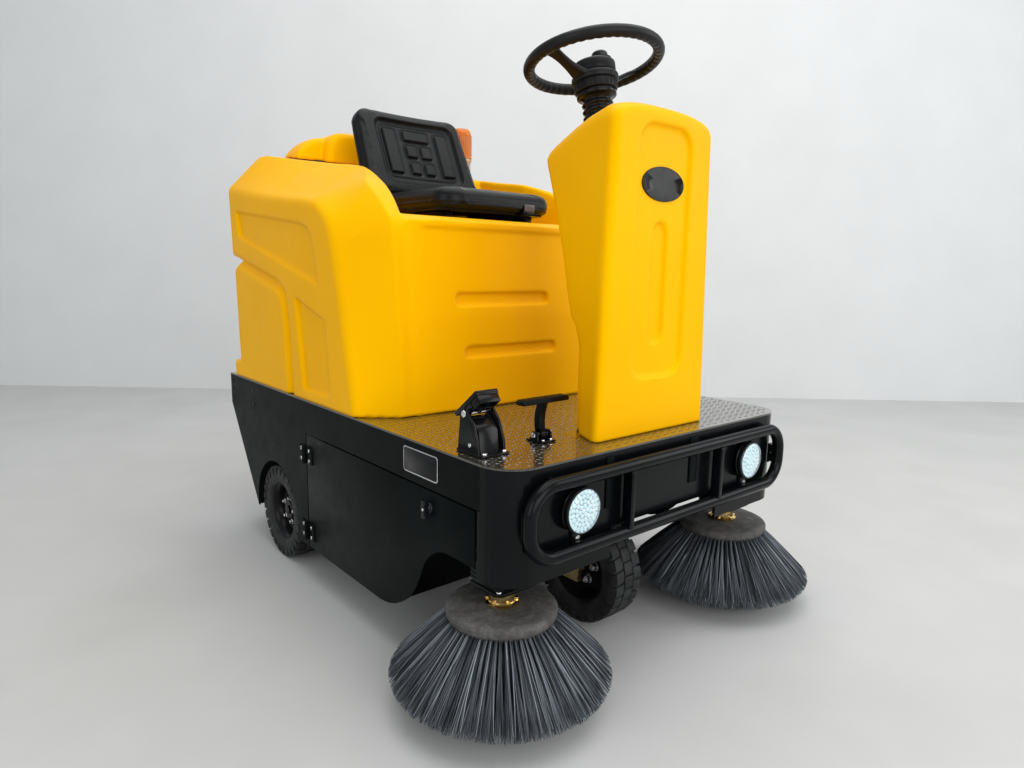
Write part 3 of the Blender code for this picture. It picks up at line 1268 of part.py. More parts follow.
def main():
    clear_scene()
    deck_plate()
    for maker in (frame_rail, side_panel, door, door_latch, rear_wheel, axle_bracket, side_brush, side_motor,
                  side_arm, headlamp):
        both_sides(maker)
    steering_head()
    tunnel_hanger()
    front_panel()
    fork()
    front_wheel()
    main_brush()
    brush_tunnel()
    brush_motor()
    hopper()
    rear_body()
    hood()
    dust_filter()
    beacon()
    battery()
    motor_controller()
    vacuum_fan()
    seat_slide()
    seat_cushion()
    seat_backrest()
    steering_cowl()
    steering_wheel()
    hub_cap()
    steering_shaft()
    steering_chain()
    column_bellows()
    control_panel()
    key_switch()
    stop_button()
    front_guard()
    accelerator()
    brake()


main()
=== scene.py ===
"""Ride-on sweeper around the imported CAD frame: detailed shells, brushes, wheels, seat and studio."""
import json
import math
import random

import bmesh
import bpy
import numpy as np
from mathutils import Matrix, Vector


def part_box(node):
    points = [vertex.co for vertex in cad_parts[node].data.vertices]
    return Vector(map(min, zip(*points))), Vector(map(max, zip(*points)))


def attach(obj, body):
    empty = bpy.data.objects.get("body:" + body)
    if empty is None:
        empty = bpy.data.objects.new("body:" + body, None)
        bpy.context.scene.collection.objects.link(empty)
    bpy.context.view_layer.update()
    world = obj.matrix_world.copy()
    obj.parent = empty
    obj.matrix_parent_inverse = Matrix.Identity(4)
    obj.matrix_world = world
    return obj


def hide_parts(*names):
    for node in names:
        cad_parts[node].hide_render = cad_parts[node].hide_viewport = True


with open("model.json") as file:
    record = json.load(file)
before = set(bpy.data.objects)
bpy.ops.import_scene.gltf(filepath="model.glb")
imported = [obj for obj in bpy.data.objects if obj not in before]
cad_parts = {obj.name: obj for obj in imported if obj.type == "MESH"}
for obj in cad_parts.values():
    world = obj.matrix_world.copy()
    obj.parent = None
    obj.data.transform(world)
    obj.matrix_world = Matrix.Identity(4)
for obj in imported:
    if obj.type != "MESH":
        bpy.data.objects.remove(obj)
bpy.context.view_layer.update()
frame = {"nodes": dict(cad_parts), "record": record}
SIDES = ((1, "left"), (-1, "right"))

# ---------------------------------------------------------------- materials


class Nodes:
    """Small builder for a node material."""

    def __init__(self, name, **sockets):
        self.material = bpy.data.materials.new(name)
        self.material.use_nodes = True
        self.tree = self.material.node_tree
        self.shader = self.tree.nodes["Principled BSDF"]
        for key, value in sockets.items():
            self.shader.inputs[key.replace("_", " ")].default_value = value

    def node(self, kind, **values):
        made = self.tree.nodes.new(kind)
        for key, value in values.items():
            if hasattr(made, key):
                setattr(made, key, value)
            else:
                made.inputs[key.replace("_", " ")].default_value = value
        return made

    def link(self, out, into):
        self.tree.links.new(out, into)

    def place(self):
        return self.node("ShaderNodeTexCoord").outputs["Object"]

    def noise(self, scale, detail=4.0, roughness=0.55):
        noise = self.node("ShaderNodeTexNoise", Scale=scale, Detail=detail, Roughness=roughness)
        self.link(self.place(), noise.inputs["Vector"])
        return noise.outputs["Fac"]

    def colour(self, factor, *stops):
        """Base colour from a ramp of (position, colour) stops."""
        ramp = self.node("ShaderNodeValToRGB")
        for end in (0, -1):
            ramp.color_ramp.elements[end].position = stops[end][0]
            ramp.color_ramp.elements[end].color = (*stops[end][1], 1)
        for position, colour in stops[1:-1]:
            ramp.color_ramp.elements.new(position).color = (*colour, 1)
        self.link(factor, ramp.inputs["Fac"])
        self.link(ramp.outputs["Color"], self.shader.inputs["Base Color"])

    def rough(self, factor, low, high):
        made = self.node("ShaderNodeMapRange", From_Min=0.3, From_Max=0.7, To_Min=low, To_Max=high)
        self.link(factor, made.inputs["Value"])
        self.link(made.outputs["Result"], self.shader.inputs["Roughness"])

    def bump(self, height, strength, distance):
        bump = self.node("ShaderNodeBump", Strength=strength, Distance=distance)
        self.link(height, bump.inputs["Height"])
        before = self.shader.inputs["Normal"].links
        if before:
            self.link(before[0].from_socket, bump.inputs["Normal"])
        self.link(bump.outputs["Normal"], self.shader.inputs["Normal"])

    def speckle(self, tint, rough, bumps):
        """Colour, roughness and bumps from noise of a scale and detail each."""
        self.colour(self.noise(*tint[:-1]), *tint[-1])
        self.rough(self.noise(*rough[:2]), *rough[2:])
        for scale, detail, strength, distance in bumps:
            self.bump(self.noise(scale, detail), strength, distance)
        return self.material


def shades(low, high, start=0.35):
    return (start, low), (1 - start, high)


def powder_coat(name, low, high, rough, grain=0.16, ior=1.24):
    return Nodes(name, IOR=ior).speckle((5.0, 5.0, shades(low, high)), (24.0, 4.0, rough - 0.05, rough + 0.07),
                                        ((650.0, 2.0, grain, 0.0005), (7.0, 2.0, 0.08, 0.003)))


def moulded_plastic(name, low, high, rough, grain=0.25, scale=500.0):
    return Nodes(name, IOR=1.3).speckle((11.0, 4.0, shades(low, high)), (30.0, 4.0, rough - 0.06, rough + 0.08),
                                         ((scale, 3.0, grain, 0.0005),))


def metal(name, low, high, rough):
    return Nodes(name, Metallic=1.0).speckle((18.0, 5.0, shades(low, high, 0.3)),
                                             (60.0, 5.0, rough - 0.07, rough + 0.12), ((240.0, 3.0, 0.1, 0.0004),))


def vinyl():
    m = Nodes("black_vinyl_skin", IOR=1.28)
    cells = m.node("ShaderNodeTexVoronoi", feature="DISTANCE_TO_EDGE", Scale=620.0)
    m.link(m.place(), cells.inputs["Vector"])
    least = m.node("ShaderNodeMath", operation="MINIMUM")
    m.link(cells.outputs["Distance"], least.inputs[0])
    least.inputs[1].default_value = 0.25
    m.bump(least.outputs[0], 0.35, 0.0006)
    return m.speckle((16.0, 4.0, shades((0.0022, 0.0026, 0.003), (0.0056, 0.0062, 0.0068))),
                     (40.0, 4.0, 0.27, 0.38), ((60.0, 3.0, 0.1, 0.0012),))


def bristle():
    m = Nodes("bristle_strands", IOR=1.42)
    m.colour(m.node("ShaderNodeNewGeometry").outputs["Random Per Island"],
             (0.0, (0.012, 0.015, 0.019)), (0.5, (0.06, 0.07, 0.084)), (0.8, (0.15, 0.17, 0.192)),
             (1.0, (0.34, 0.37, 0.4)))
    m.rough(m.noise(90.0, 3.0), 0.38, 0.55)
    m.bump(m.noise(900.0, 2.0), 0.2, 0.0004)
    return m.material


def lens(name, colour, rough, clear):
    m = Nodes(name, IOR=1.46, Transmission_Weight=clear, Roughness=rough)
    m.colour(m.noise(30.0, 3.0), *shades(colour, tuple(min(1.0, c * 1.12 + 0.01) for c in colour), 0.3))
    m.bump(m.noise(200.0, 2.0), 0.08, 0.0004)
    return m.material


def glow(name, colour, strength):
    m = Nodes(name, Roughness=0.3, Emission_Color=(*colour, 1), Emission_Strength=strength)
    m.colour(m.noise(260.0, 2.0), *shades(tuple(c * 0.85 for c in colour), colour, 0.3))
    return m.material


MAT = {
    "yellow": Nodes("yellow_shell_paint", IOR=1.2, Specular_Tint=(1.0, 0.7, 0.06, 1.0)).speckle(
        (2.3, 3.0, shades((0.92, 0.448, 0.0002), (0.98, 0.488, 0.0004))), (14.0, 3.0, 0.36, 0.46),
        ((420.0, 2.0, 0.1, 0.0004), (9.0, 2.0, 0.12, 0.002))),
    "sheet": powder_coat("black_sheet_paint", (0.0026, 0.0042, 0.004), (0.0052, 0.0078, 0.0074), 0.32, ior=1.12),
    "frame": powder_coat("black_frame_paint", (0.0014, 0.002, 0.0024), (0.0034, 0.0044, 0.005), 0.2, 0.1),
    "deck": Nodes("chequered_deck_skin", Metallic=0.35, IOR=1.75, Coat_Weight=1.0, Coat_Roughness=0.1).speckle(
        (10.0, 5.0, shades((0.022, 0.02, 0.014), (0.05, 0.045, 0.03), 0.3)), (36.0, 4.0, 0.16, 0.3),
        ((55.0, 3.0, 0.3, 0.0012), (380.0, 3.0, 0.18, 0.0005))),
    "vinyl": vinyl(),
    "plastic": moulded_plastic("black_plastic_grain", (0.005, 0.0052, 0.0056), (0.011, 0.0115, 0.0125), 0.4),
    "gloss": moulded_plastic("black_plastic_gloss", (0.0035, 0.0035, 0.004), (0.008, 0.0085, 0.0095), 0.2, 0.1),
    "rubber": Nodes("tyre_rubber_skin", IOR=1.36).speckle(
        (22.0, 5.0, shades((0.009, 0.0092, 0.0098), (0.033, 0.0335, 0.0345), 0.3)), (35.0, 4.0, 0.5, 0.7),
        ((380.0, 3.0, 0.25, 0.0006),)),
    "rim": powder_coat("rim_black_paint", (0.0045, 0.0045, 0.005), (0.009, 0.009, 0.01), 0.22, 0.1),
    "zinc": metal("yellow_zinc_plate", (0.55, 0.4, 0.14), (0.78, 0.62, 0.3), 0.3),
    "gold": metal("gold_zinc_plate", (0.66, 0.44, 0.14), (0.9, 0.68, 0.32), 0.2),
    "steel": metal("bright_steel", (0.66, 0.66, 0.66), (0.88, 0.88, 0.89), 0.22),
    "bristle": bristle(),
    "felt": Nodes("brush_plate_skin", IOR=1.45).speckle(
        (48.0, 6.0, 0.7, ((0.25, (0.03, 0.029, 0.028)), (0.5, (0.075, 0.072, 0.068)), (0.75, (0.15, 0.145, 0.138)))),
        (30.0, 4.0, 0.72, 0.92), ((520.0, 5.0, 0.65, 0.0012),)),
    "amber": lens("amber_beacon_lens", (0.98, 0.3, 0.02), 0.16, 0.55),
    "pale": lens("pale_beacon_foot", (0.86, 0.82, 0.74), 0.22, 0.75),
    "clear": lens("clear_lamp_lens", (0.93, 0.97, 0.99), 0.05, 0.95),
    "led": glow("lamp_led_field", (0.62, 0.8, 0.86), 0.5),
    "mirror": metal("lamp_reflector", (0.5, 0.56, 0.6), (0.86, 0.92, 0.95), 0.16),
    "red": moulded_plastic("red_button_plastic", (0.45, 0.012, 0.012), (0.6, 0.02, 0.018), 0.3, 0.08),
    "case": moulded_plastic("battery_case_plastic", (0.035, 0.036, 0.04), (0.055, 0.056, 0.062), 0.5),
    "grey": moulded_plastic("grey_tag_fabric", (0.1, 0.1, 0.11), (0.3, 0.3, 0.32), 0.7, 0.6, 900.0),
}

SLOT_MATERIAL = {
    "yellow_shell": "yellow", "black_sheet": "sheet", "black_frame": "frame", "checker_deck": "deck",
    "black_vinyl": "vinyl", "black_plastic": "plastic", "tyre_rubber": "rubber", "rim_paint": "rim",
    "zinc": "zinc", "steel": "steel", "bristle": "bristle", "amber_lens": "amber", "pale_plastic": "pale",
    "clear_lens": "clear", "red_plastic": "red", "battery_case": "case",
}
for part in frame["record"]["subparts"]:
    node = frame["nodes"][part["node"]]
    node.data.materials.clear()
    node.data.materials.append(MAT[SLOT_MATERIAL[part["material_slot"]]])

frame["nodes"]["front_panel"].data.materials[0] = MAT["frame"]

# ---------------------------------------------------------------- mesh helpers


def new_piece(name, mesh, body, material, replaces=()):
    """Link a mesh as a piece that rides on a body."""
    obj = bpy.data.objects.new(name, mesh)
    bpy.context.scene.collection.objects.link(obj)
    for item in [material] if isinstance(material, str) else material:
        mesh.materials.append(MAT[item])
    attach(obj, body)
    if replaces:
        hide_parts(*replaces)
    return obj


def smooth_shaded(mesh):
    mesh.polygons.foreach_set("use_smooth", [True] * len(mesh.polygons))
    return mesh


def mesh_of(name, verts, faces):
    mesh = bpy.data.meshes.new(name)
    mesh.from_pydata([tuple(v) for v in verts], [], [tuple(f) for f in faces])
    mesh.validate()
    return mesh


class Build:
    """Collects simple shapes into one mesh, each with a material index."""

    def __init__(self):
        self.bm = bmesh.new()

    def ring(self, points):
        return [self.bm.verts.new(point) for point in points]

    def faces(self, loops, index=0):
        made = [self.bm.faces.new(loop) for loop in loops]
        for face in made:
            face.material_index = index
        return made

    def strip(self, rings, index=0, closed=False, caps=False):
        """Quads between rings; a ring of one vertex is a pole."""
        for low, high in zip(rings, rings[1:] + (rings[:1] if closed else [])):
            steps = max(len(low), len(high))
            for k in range(steps):
                n = (k + 1) % steps
                corners = (low[k % len(low)], low[n % len(low)], high[n % len(high)], high[k % len(high)])
                loop = list(dict.fromkeys(corners))
                if len(loop) > 2:
                    self.faces([loop], index)
        if caps:
            self.faces([rings[0][::-1], rings[-1]], index)

    def round_off(self, edges, bevel, index=0, segments=2):
        done = bmesh.ops.bevel(self.bm, geom=list(edges), offset=bevel, segments=segments, profile=0.5,
                               affect="EDGES", clamp_overlap=True)["faces"]
        for face in done:
            face.material_index = index
        return done

    def box(self, low, high, bevel=0.0, matrix=None, index=0, segments=2):
        """Box between two opposite corners, with rounded edges."""
        low, high = Vector(tuple(map(min, low, high))), Vector(tuple(map(max, low, high)))
        place = Matrix.Translation((low + high) / 2) @ Matrix.Diagonal((*(high - low), 1))
        verts = bmesh.ops.create_cube(self.bm, size=1.0, matrix=place)["verts"]
        faces = list({face for vert in verts for face in vert.link_faces})
        for face in faces:
            face.material_index = index
        if bevel > 0:
            done = self.round_off({edge for vert in verts for edge in vert.link_edges}, bevel, index, segments)
            verts = {vert for face in faces + done if face.is_valid for vert in face.verts}
        if matrix is not None:
            bmesh.ops.transform(self.bm, matrix=matrix, verts=list(verts))

    def rod(self, start, end, radius, sides=24, bevel=0.0, index=0):
        """Cylinder between two points, with rounded rims."""
        start, end = Vector(start), Vector(end)
        axis = end - start
        place = Matrix.Translation((start + end) / 2) @ axis.to_track_quat("Z", "Y").to_matrix().to_4x4()
        verts = bmesh.ops.create_cone(self.bm, cap_ends=True, segments=sides, radius1=radius, radius2=radius,
                                      depth=axis.length, matrix=place)["verts"]
        for face in {face for vert in verts for face in vert.link_faces}:
            face.material_index = index
        if bevel > 0:
            edges = {edge for vert in verts for edge in vert.link_edges}
            self.round_off([e for e in edges if any(len(f.verts) > 4 for f in e.link_faces)], bevel, index)

    def pins(self, spot, way, specs):
        """Rods from one spot along a direction: (start, end, radius, sides, bevel, index) each."""
        spot, way = Vector(spot), Vector(way)
        for start, end, *rest in specs:
            self.rod(spot + way * start, spot + way * end, *rest)

    def lathe(self, profile, centre, axis, steps=48, index=0, closed=False):
        """Turn (radius, height) points about an axis."""
        axis, centre = Vector(axis).normalized(), Vector(centre)
        side = axis.orthogonal().normalized()
        other = axis.cross(side)
        self.strip([self.ring([centre + axis * height] if radius < 1e-6 else
                              [centre + axis * height + side * u + other * v for u, v in around(steps, radius)])
                    for radius, height in profile], index, closed)

    def tube(self, points, radius, sides=12, closed=False, up=(0, 0, 1)):
        """Sweep a circle along points."""
        points, up = [Vector(p) for p in points], Vector(up)
        last = len(points) - 1
        rings, normal = [], None
        for i, point in enumerate(points):
            before = points[i - 1] if (i > 0 or closed) else point
            after = points[(i + 1) % len(points)] if (i < last or closed) else point
            tangent = (after - before).normalized()
            normal = up if normal is None else normal
            normal = (normal - tangent * normal.dot(tangent)).normalized()
            other = tangent.cross(normal)
            rings.append(self.ring([point + normal * u + other * v for u, v in around(sides, radius)]))
        self.strip(rings, 0, closed, not closed)

    def prism(self, outline, plane, low, high, bevel=0.0, index=0):
        """Extrude a flat outline: plane YZ gives x from low to high, and so on."""
        place = {"YZ": lambda a, b, c: (c, a, b), "XY": lambda a, b, c: (a, b, c)}[plane]
        bottom, top = (self.ring([place(a, b, level) for a, b in outline]) for level in sorted((low, high)))
        ends = self.faces([bottom[::-1], top], index)
        self.strip([bottom, top], index)
        if bevel > 0:
            self.round_off({e for f in ends for e in f.edges}, bevel, index)

    def piece(self, name, body, material, replaces=(), smooth_angle=35, matrix=None):
        """Finish the mesh as a piece and start an empty one."""
        if matrix is not None:
            bmesh.ops.transform(self.bm, matrix=matrix, verts=self.bm.verts)
        bmesh.ops.recalc_face_normals(self.bm, faces=self.bm.faces)
        mesh = bpy.data.meshes.new(name)
        self.bm.to_mesh(mesh)
        self.bm.free()
        self.bm = bmesh.new()
        smooth_shaded(mesh).set_sharp_from_angle(angle=math.radians(smooth_angle))
        return new_piece(name, mesh, body, material, replaces)


def around(count, radius, start=0.0):
    """Points of a regular ring."""
    angles = [math.tau * step / count + start for step in range(count)]
    return [(radius * math.cos(a), radius * math.sin(a)) for a in angles]


def arc(centre, radius, start, end, count):
    return [(centre[0] + radius * math.cos(math.radians(start + (end - start) * i / count)),
             centre[1] + radius * math.sin(math.radians(start + (end - start) * i / count)))
            for i in range(count + 1)]


def rounded_outline(u0, u1, v0, v1, r, count):
    """Rectangle with rounded corners."""
    return (arc((u1 - r, v0 + r), r, 270, 360, count) + arc((u1 - r, v1 - r), r, 0, 90, count)
            + arc((u0 + r, v1 - r), r, 90, 180, count) + arc((u0 + r, v0 + r), r, 180, 270, count))


b = Build()

# ---------------------------------------------------------------- distance fields
def smax(a, b, k):
    """Smooth intersection with a rounding of about k."""
    h = np.clip(0.5 - 0.5 * (b - a) / k, 0, 1)
    return b * (1 - h) + a * h + k * h * (1 - h)


def smin(a, b, k):
    return -smax(-a, -b, k)


def polygon(points, u, v):
    """Signed distance to a closed polygon, negative inside."""
    best = np.full(u.shape, 1e9)
    inside = np.zeros(u.shape, bool)
    count = len(points)
    for i in range(count):
        ax, ay = points[i]
        bx, by = points[(i + 1) % count]
        ex, ey = bx - ax, by - ay
        t = np.clip(((u - ax) * ex + (v - ay) * ey) / (ex * ex + ey * ey), 0, 1)
        best = np.minimum(best, (u - ax - t * ex) ** 2 + (v - ay - t * ey) ** 2)
        crosses = (ay > v) != (by > v)
        with np.errstate(divide="ignore", invalid="ignore"):
            hit = u < ax + (v - ay) / (by - ay if by != ay else 1e-12) * ex
        inside ^= crosses & hit
    return np.where(inside, -1, 1) * np.sqrt(best)


def rounded_rect(u, v, hu, hv, r):
    qu, qv = np.abs(u) - hu + r, np.abs(v) - hv + r
    return np.hypot(np.maximum(qu, 0), np.maximum(qv, 0)) + np.minimum(np.maximum(qu, qv), 0) - r


def surface(field, low, high, step):
    """Closed quad mesh of a field's zero level: (vertices, faces)."""
    axes = [np.arange(low[i] - step, high[i] + 2 * step, step) for i in range(3)]
    grid = np.meshgrid(*axes, indexing="ij")
    value = field(*grid).astype(np.float32)
    inside = value < 0
    shape = np.array(value.shape) - 1
    total = np.zeros((*shape, 3), np.float32)
    count = np.zeros(shape, np.float32)
    faces = []
    for axis in range(3):
        others = [a for a in range(3) if a != axis]
        lo = [slice(None)] * 3
        hi = [slice(None)] * 3
        lo[axis], hi[axis] = slice(0, -1), slice(1, None)
        va, vb = value[tuple(lo)], value[tuple(hi)]
        cross = inside[tuple(lo)] != inside[tuple(hi)]
        index = np.argwhere(cross)
        t = (va / (va - vb + 1e-12))[cross]
        point = index.astype(np.float32)
        point[:, axis] += t
        keep = np.ones(len(index), bool)
        cells = []
        for du, dv in ((0, 0), (-1, 0), (-1, -1), (0, -1)):
            cell = index.copy()
            cell[:, others[0]] += du
            cell[:, others[1]] += dv
            cells.append(cell)
            good = np.all((cell >= 0) & (cell < shape), axis=1)
            keep &= good
            flat = np.ravel_multi_index(cell[good].T, shape)
            np.add.at(count.reshape(-1), flat, 1)
            np.add.at(total.reshape(-1, 3), flat, point[good])
        quads = np.stack([np.ravel_multi_index(np.clip(c[keep], 0, shape - 1).T, shape) for c in cells], 1)
        flip = inside[tuple(lo)][cross][keep] ^ (axis == 1)
        quads[~flip] = quads[~flip][:, ::-1]
        faces.append(quads)
    faces = np.concatenate(faces)
    used, faces = np.unique(faces, return_inverse=True)
    faces = faces.reshape(-1, 4)
    verts = total.reshape(-1, 3)[used] / count.reshape(-1)[used][:, None]
    verts = verts * step + np.array([a[0] for a in axes])
    for _ in range(3):
        verts = verts - project(field, verts, step)
    return verts, faces


def project(field, verts, step):
    """Step from points to the zero level along the field's gradient."""
    e = step * 0.25
    x, y, z = verts.T.astype(float)
    base = field(x, y, z)
    grad = np.stack([field(x + e, y, z) - field(x - e, y, z), field(x, y + e, z) - field(x, y - e, z),
                     field(x, y, z + e) - field(x, y, z - e)], 1) / (2 * e)
    length = np.maximum((grad ** 2).sum(1), 0.25)
    move = grad * (base / length)[:, None]
    size = np.linalg.norm(move, axis=1)
    return move * np.minimum(1, step * 0.5 / np.maximum(size, 1e-9))[:, None]


def field_piece(name, field, low, high, step, body, material, replaces=()):
    """Piece made from a distance field."""
    verts, faces = surface(field, low, high, step)
    mesh = bpy.data.meshes.new(name)
    mesh.vertices.add(len(verts))
    mesh.vertices.foreach_set("co", verts.astype(np.float32).ravel())
    mesh.loops.add(faces.size)
    mesh.loops.foreach_set("vertex_index", faces.astype(np.int32).ravel())
    mesh.polygons.add(len(faces))
    mesh.polygons.foreach_set("loop_start", np.arange(0, faces.size, 4, dtype=np.int32))
    mesh.update(calc_edges=True)
    mesh.validate()
    return new_piece(name, smooth_shaded(mesh), body, material, replaces)


# ---------------------------------------------------------------- rear body and hood
HALF = 0.44
DECK = 0.4825
def eased_line(points, times=3):
    """Corner cutting: rounds the bends of an open line and keeps its two ends."""
    for _ in range(times):
        line = [points[0]]
        for (ax, ay), (bx, by) in zip(points, points[1:]):
            line += [(ax * 0.75 + bx * 0.25, ay * 0.75 + by * 0.25), (ax * 0.25 + bx * 0.75, ay * 0.25 + by * 0.75)]
        points = line + [points[-1]]
    return points


SIDE_OUTLINE = eased_line([
    (-0.105, DECK - 0.08), (-0.087, DECK), (-0.042, 0.674), (-0.023, 0.76), (0.006, 0.858), (0.023, 0.906),
    (0.052, 0.934),
    (0.092, 0.957), (0.135, 0.964), (0.221, 0.971), (0.415, 0.992), (0.6, 1.017)], 2) + [
    (0.669, 1.026), (0.9, 1.06), (0.9, DECK - 0.08),
]
MIDDLE_OUTLINE = eased_line([
    (-0.155, DECK - 0.08), (-0.15, DECK), (-0.138, 0.7), (-0.118, 0.88), (-0.106, 0.918), (-0.084, 0.9385),
    (-0.051, 0.968),
    (0.0, 1.0), (0.05, 1.02), (0.094, 1.038), (0.175, 1.062), (0.274, 1.073), (0.5, 1.106)]) + [
    (0.592, 1.12), (0.9, 1.125), (0.9, DECK - 0.08),
]
REAR_OUTLINE = [
    (-0.5, DECK - 0.08), (-0.5, 1.3), (0.6, 1.3), (0.64, 1.122), (0.668, 1.026), (0.655, 0.835),
    (0.606, 0.821), (0.644, 0.794), (0.63, 0.531), (0.679, 0.528), (0.679, DECK - 0.08),
]
WELL_HALF = 0.262
SEAT_BOX = [(-0.163, DECK - 0.08), (-0.15, 0.7), (-0.126, 0.918), (0.3, 0.928), (0.3, DECK - 0.08)]
WELL = [(-0.3, 0.93), (0.33, 0.93), (0.386, 1.093), (0.372, 1.3), (-0.3, 1.3)]
RECESS_UPPER = [(0.611, 0.961), (0.179, 0.915), (0.13, 0.9), (0.108, 0.872), (0.079, 0.766), (0.596, 0.888)]
RECESS_LOWER = [(0.218, 0.737), (0.052, 0.689), (0.032, 0.509), (0.183, 0.506)]
GROOVE = [(0.64, 0.826), (0.606, 0.821), (0.33, 0.763), (0.287, 0.737), (0.274, 0.66), (0.259, 0.47)]
FRONT_SLOTS = ((-0.205, 0.079, 0.727, 0.755), (-0.182, 0.102, 0.606, 0.63))


def ease(value, low, high):
    t = np.clip((value - low) / (high - low), 0, 1)
    return t * t * (3 - 2 * t)


def polyline(points, u, v):
    """Distance to an open line."""
    best = np.full(np.shape(u), 1e9)
    for (ax, ay), (bx, by) in zip(points, points[1:]):
        ex, ey = bx - ax, by - ay
        t = np.clip(((u - ax) * ex + (v - ay) * ey) / (ex * ex + ey * ey), 0, 1)
        best = np.minimum(best, np.hypot(u - ax - t * ex, v - ay - t * ey))
    return best


def rear_body_field(x, y, z):
    across = np.abs(x)
    width = 0.086 + 0.074 * ease(y, -0.02, 0.16) * (1 - np.clip((y - 0.16) / 0.46, 0, 1)) * ease(z, 0.9, 0.95)
    t = np.clip((HALF - across) / width, 0, 1)
    t = t * 0.9 + 0.1 * t * t * (3 - 2 * t)
    outer = polygon(SIDE_OUTLINE, y, z)
    middle = polygon(MIDDLE_OUTLINE, y, z)
    shell = outer * (1 - t) + middle * t
    shell = smax(smax(shell, polygon(REAR_OUTLINE, y, z), 0.01), across - HALF, 0.014)
    half = WELL_HALF + 0.217 * np.clip(0.17 - y, 0, 0.3)
    well = np.maximum((across - half) * 0.97, polygon(WELL, y, z))
    shell = smax(shell, -well, 0.01)
    bow = 0.012 * np.clip(across / 0.33, 0, 1.2) ** 3
    box = smax(polygon(SEAT_BOX, y - bow, z), across - half, 0.02)
    lip = smax(np.abs(z - 0.913) - 0.012, smax(polygon(SEAT_BOX, y - bow + 0.0045, z), across - 0.305, 0.03), 0.006)
    shell = smin(shell, smin(box, lip, 0.004), 0.008)
    for line, depth in ((RECESS_UPPER, 0.008), (RECESS_LOWER, 0.008)):
        pocket = smax(polygon(line, y, z) + 0.003, HALF - depth - across, 0.004)
        shell = smax(shell, -pocket, 0.004)
    groove = np.maximum(polyline(GROOVE, y, z) * 0.75 + (HALF - across) * 0.9 - 0.013, HALF - 0.03 - across)
    shell = smax(shell, -groove, 0.006)
    for low, high, under, over in FRONT_SLOTS:
        slot = rounded_rect(x - (low + high) / 2, z - (under + over) / 2, (high - low) / 2, (over - under) / 2,
                            (over - under) / 2)
        front = polygon(SEAT_BOX, y - bow, z)
        shell = smax(shell, -smax(slot, -front - 0.009, 0.006), 0.006)
    pocket = np.maximum(np.maximum(across - 0.2, np.abs(y - 0.57) - 0.054), 1.045 - z)
    shell = np.maximum(shell, -pocket)
    return np.maximum(shell, DECK + 0.0003 - z)


def hood_field(x, y, z):
    """Filter hood: a wide rear lobe and a steeper lobe along the front, with a crease between them."""
    across = np.abs(x)
    rise = np.clip((z - 1.06) / 0.14, 0, 1)
    crown = 0.045 * (across / 0.28) ** 4
    rear = smax(across - 0.294 + 0.066 * rise ** 2.4, z - 1.19 + 0.6 * crown, 0.036)
    rear = smax(rear, y - 0.656 + 0.04 * rise ** 2, 0.036)
    rear = smax(rear, 0.518 - y + 0.02 * rise, 0.02)
    front = smax(across - 0.216 + 0.026 * rise ** 2, z - 1.199 + 0.6 * crown, 0.034)
    front = smax(front, np.abs(y - 0.524 - 0.014 * rise) - 0.046, 0.022)
    return np.maximum(smin(rear, front, 0.006), body_top(y) + 0.0035 - z)


def body_top(y):
    """Height of the body's top under the hood."""
    return 1.071 + (y - 0.274) * (1.12 - 1.071) / (0.592 - 0.274) - 0.13 * np.maximum(y - 0.592, 0)


field_piece("rear_body_shell", rear_body_field, (-HALF, -0.185, DECK), (HALF, 0.6800, 1.130), 0.0055, "chassis",
            "yellow", ("rear_body",))
field_piece("filter_hood_shell", hood_field, (-0.29, 0.470, 1.08), (0.29, 0.660, 1.205), 0.005, "hood",
            "yellow", ("filter_hood",))

# ---------------------------------------------------------------- steering cowl
COWL_REAR = [
    (DECK, -0.451), (0.66, -0.451), (0.691, -0.442), (0.752, -0.425), (0.853, -0.403), (0.944, -0.378),
    (1.037, -0.348), (1.2, -0.33),
]
COWL_FRONT = -0.562


def cowl_field(x, y, z):
    across = np.abs(x)
    rear = np.interp(z, [p[0] for p in COWL_REAR], [p[1] for p in COWL_REAR])
    share = np.clip((y - COWL_FRONT) / (rear - COWL_FRONT), 0, 1)
    half = 0.18 - 0.026 * np.clip((z - DECK) / 0.62, 0, 1)
    half = half + (0.131 - half) * share
    top = np.interp(y, [-0.562, -0.526, -0.475, -0.436, -0.35], [1.11, 1.112, 1.1, 1.086, 1.05])
    top = top + 0.019 * (1 - np.clip(across / half, 0, 1) ** 3)
    sides = smax((across - half) * 0.97, COWL_FRONT - y, 0.022)
    shell = smax(sides, (y - rear) * 0.96, 0.016)
    shell = smax(shell, z - top, 0.026)
    run = np.clip(z, 0.64, 1.052) - z
    recess = np.hypot(np.maximum(across - 0.038, 0), run) - 0.04
    shell = smax(shell, -smax(recess, y - COWL_FRONT - 0.0075, 0.006), 0.008)
    run = np.clip(z, 0.69, 0.888) - z
    slot = np.hypot(across, run) - 0.021
    shell = smax(shell, -smax(slot, y - COWL_FRONT - 0.015, 0.006), 0.006)
    arc_low = np.interp(z, [0.4, 0.664, 0.703, 0.726], [-0.491, -0.48, -0.458, -0.431])
    step = smax(z - 0.735, arc_low - y, 0.01)
    shell = smax(shell, -smax(step, half - 0.0135 - across, 0.004), 0.005)
    hole = np.hypot(x, y + 0.353 - (z - 1.25) * COLUMN_SLOPE) - 0.035
    shell = smax(shell, -np.maximum(hole, 1.02 - z), 0.006)
    return np.maximum(shell, DECK + 0.0003 - z)


COLUMN_LEAN = 0.19
COLUMN_SLOPE = math.tan(COLUMN_LEAN)
field_piece("steering_cowl_shell", cowl_field, (-0.19, -0.570, DECK), (0.19, -0.33, 1.135), 0.0045, "chassis",
            "yellow", ("steering_cowl",))

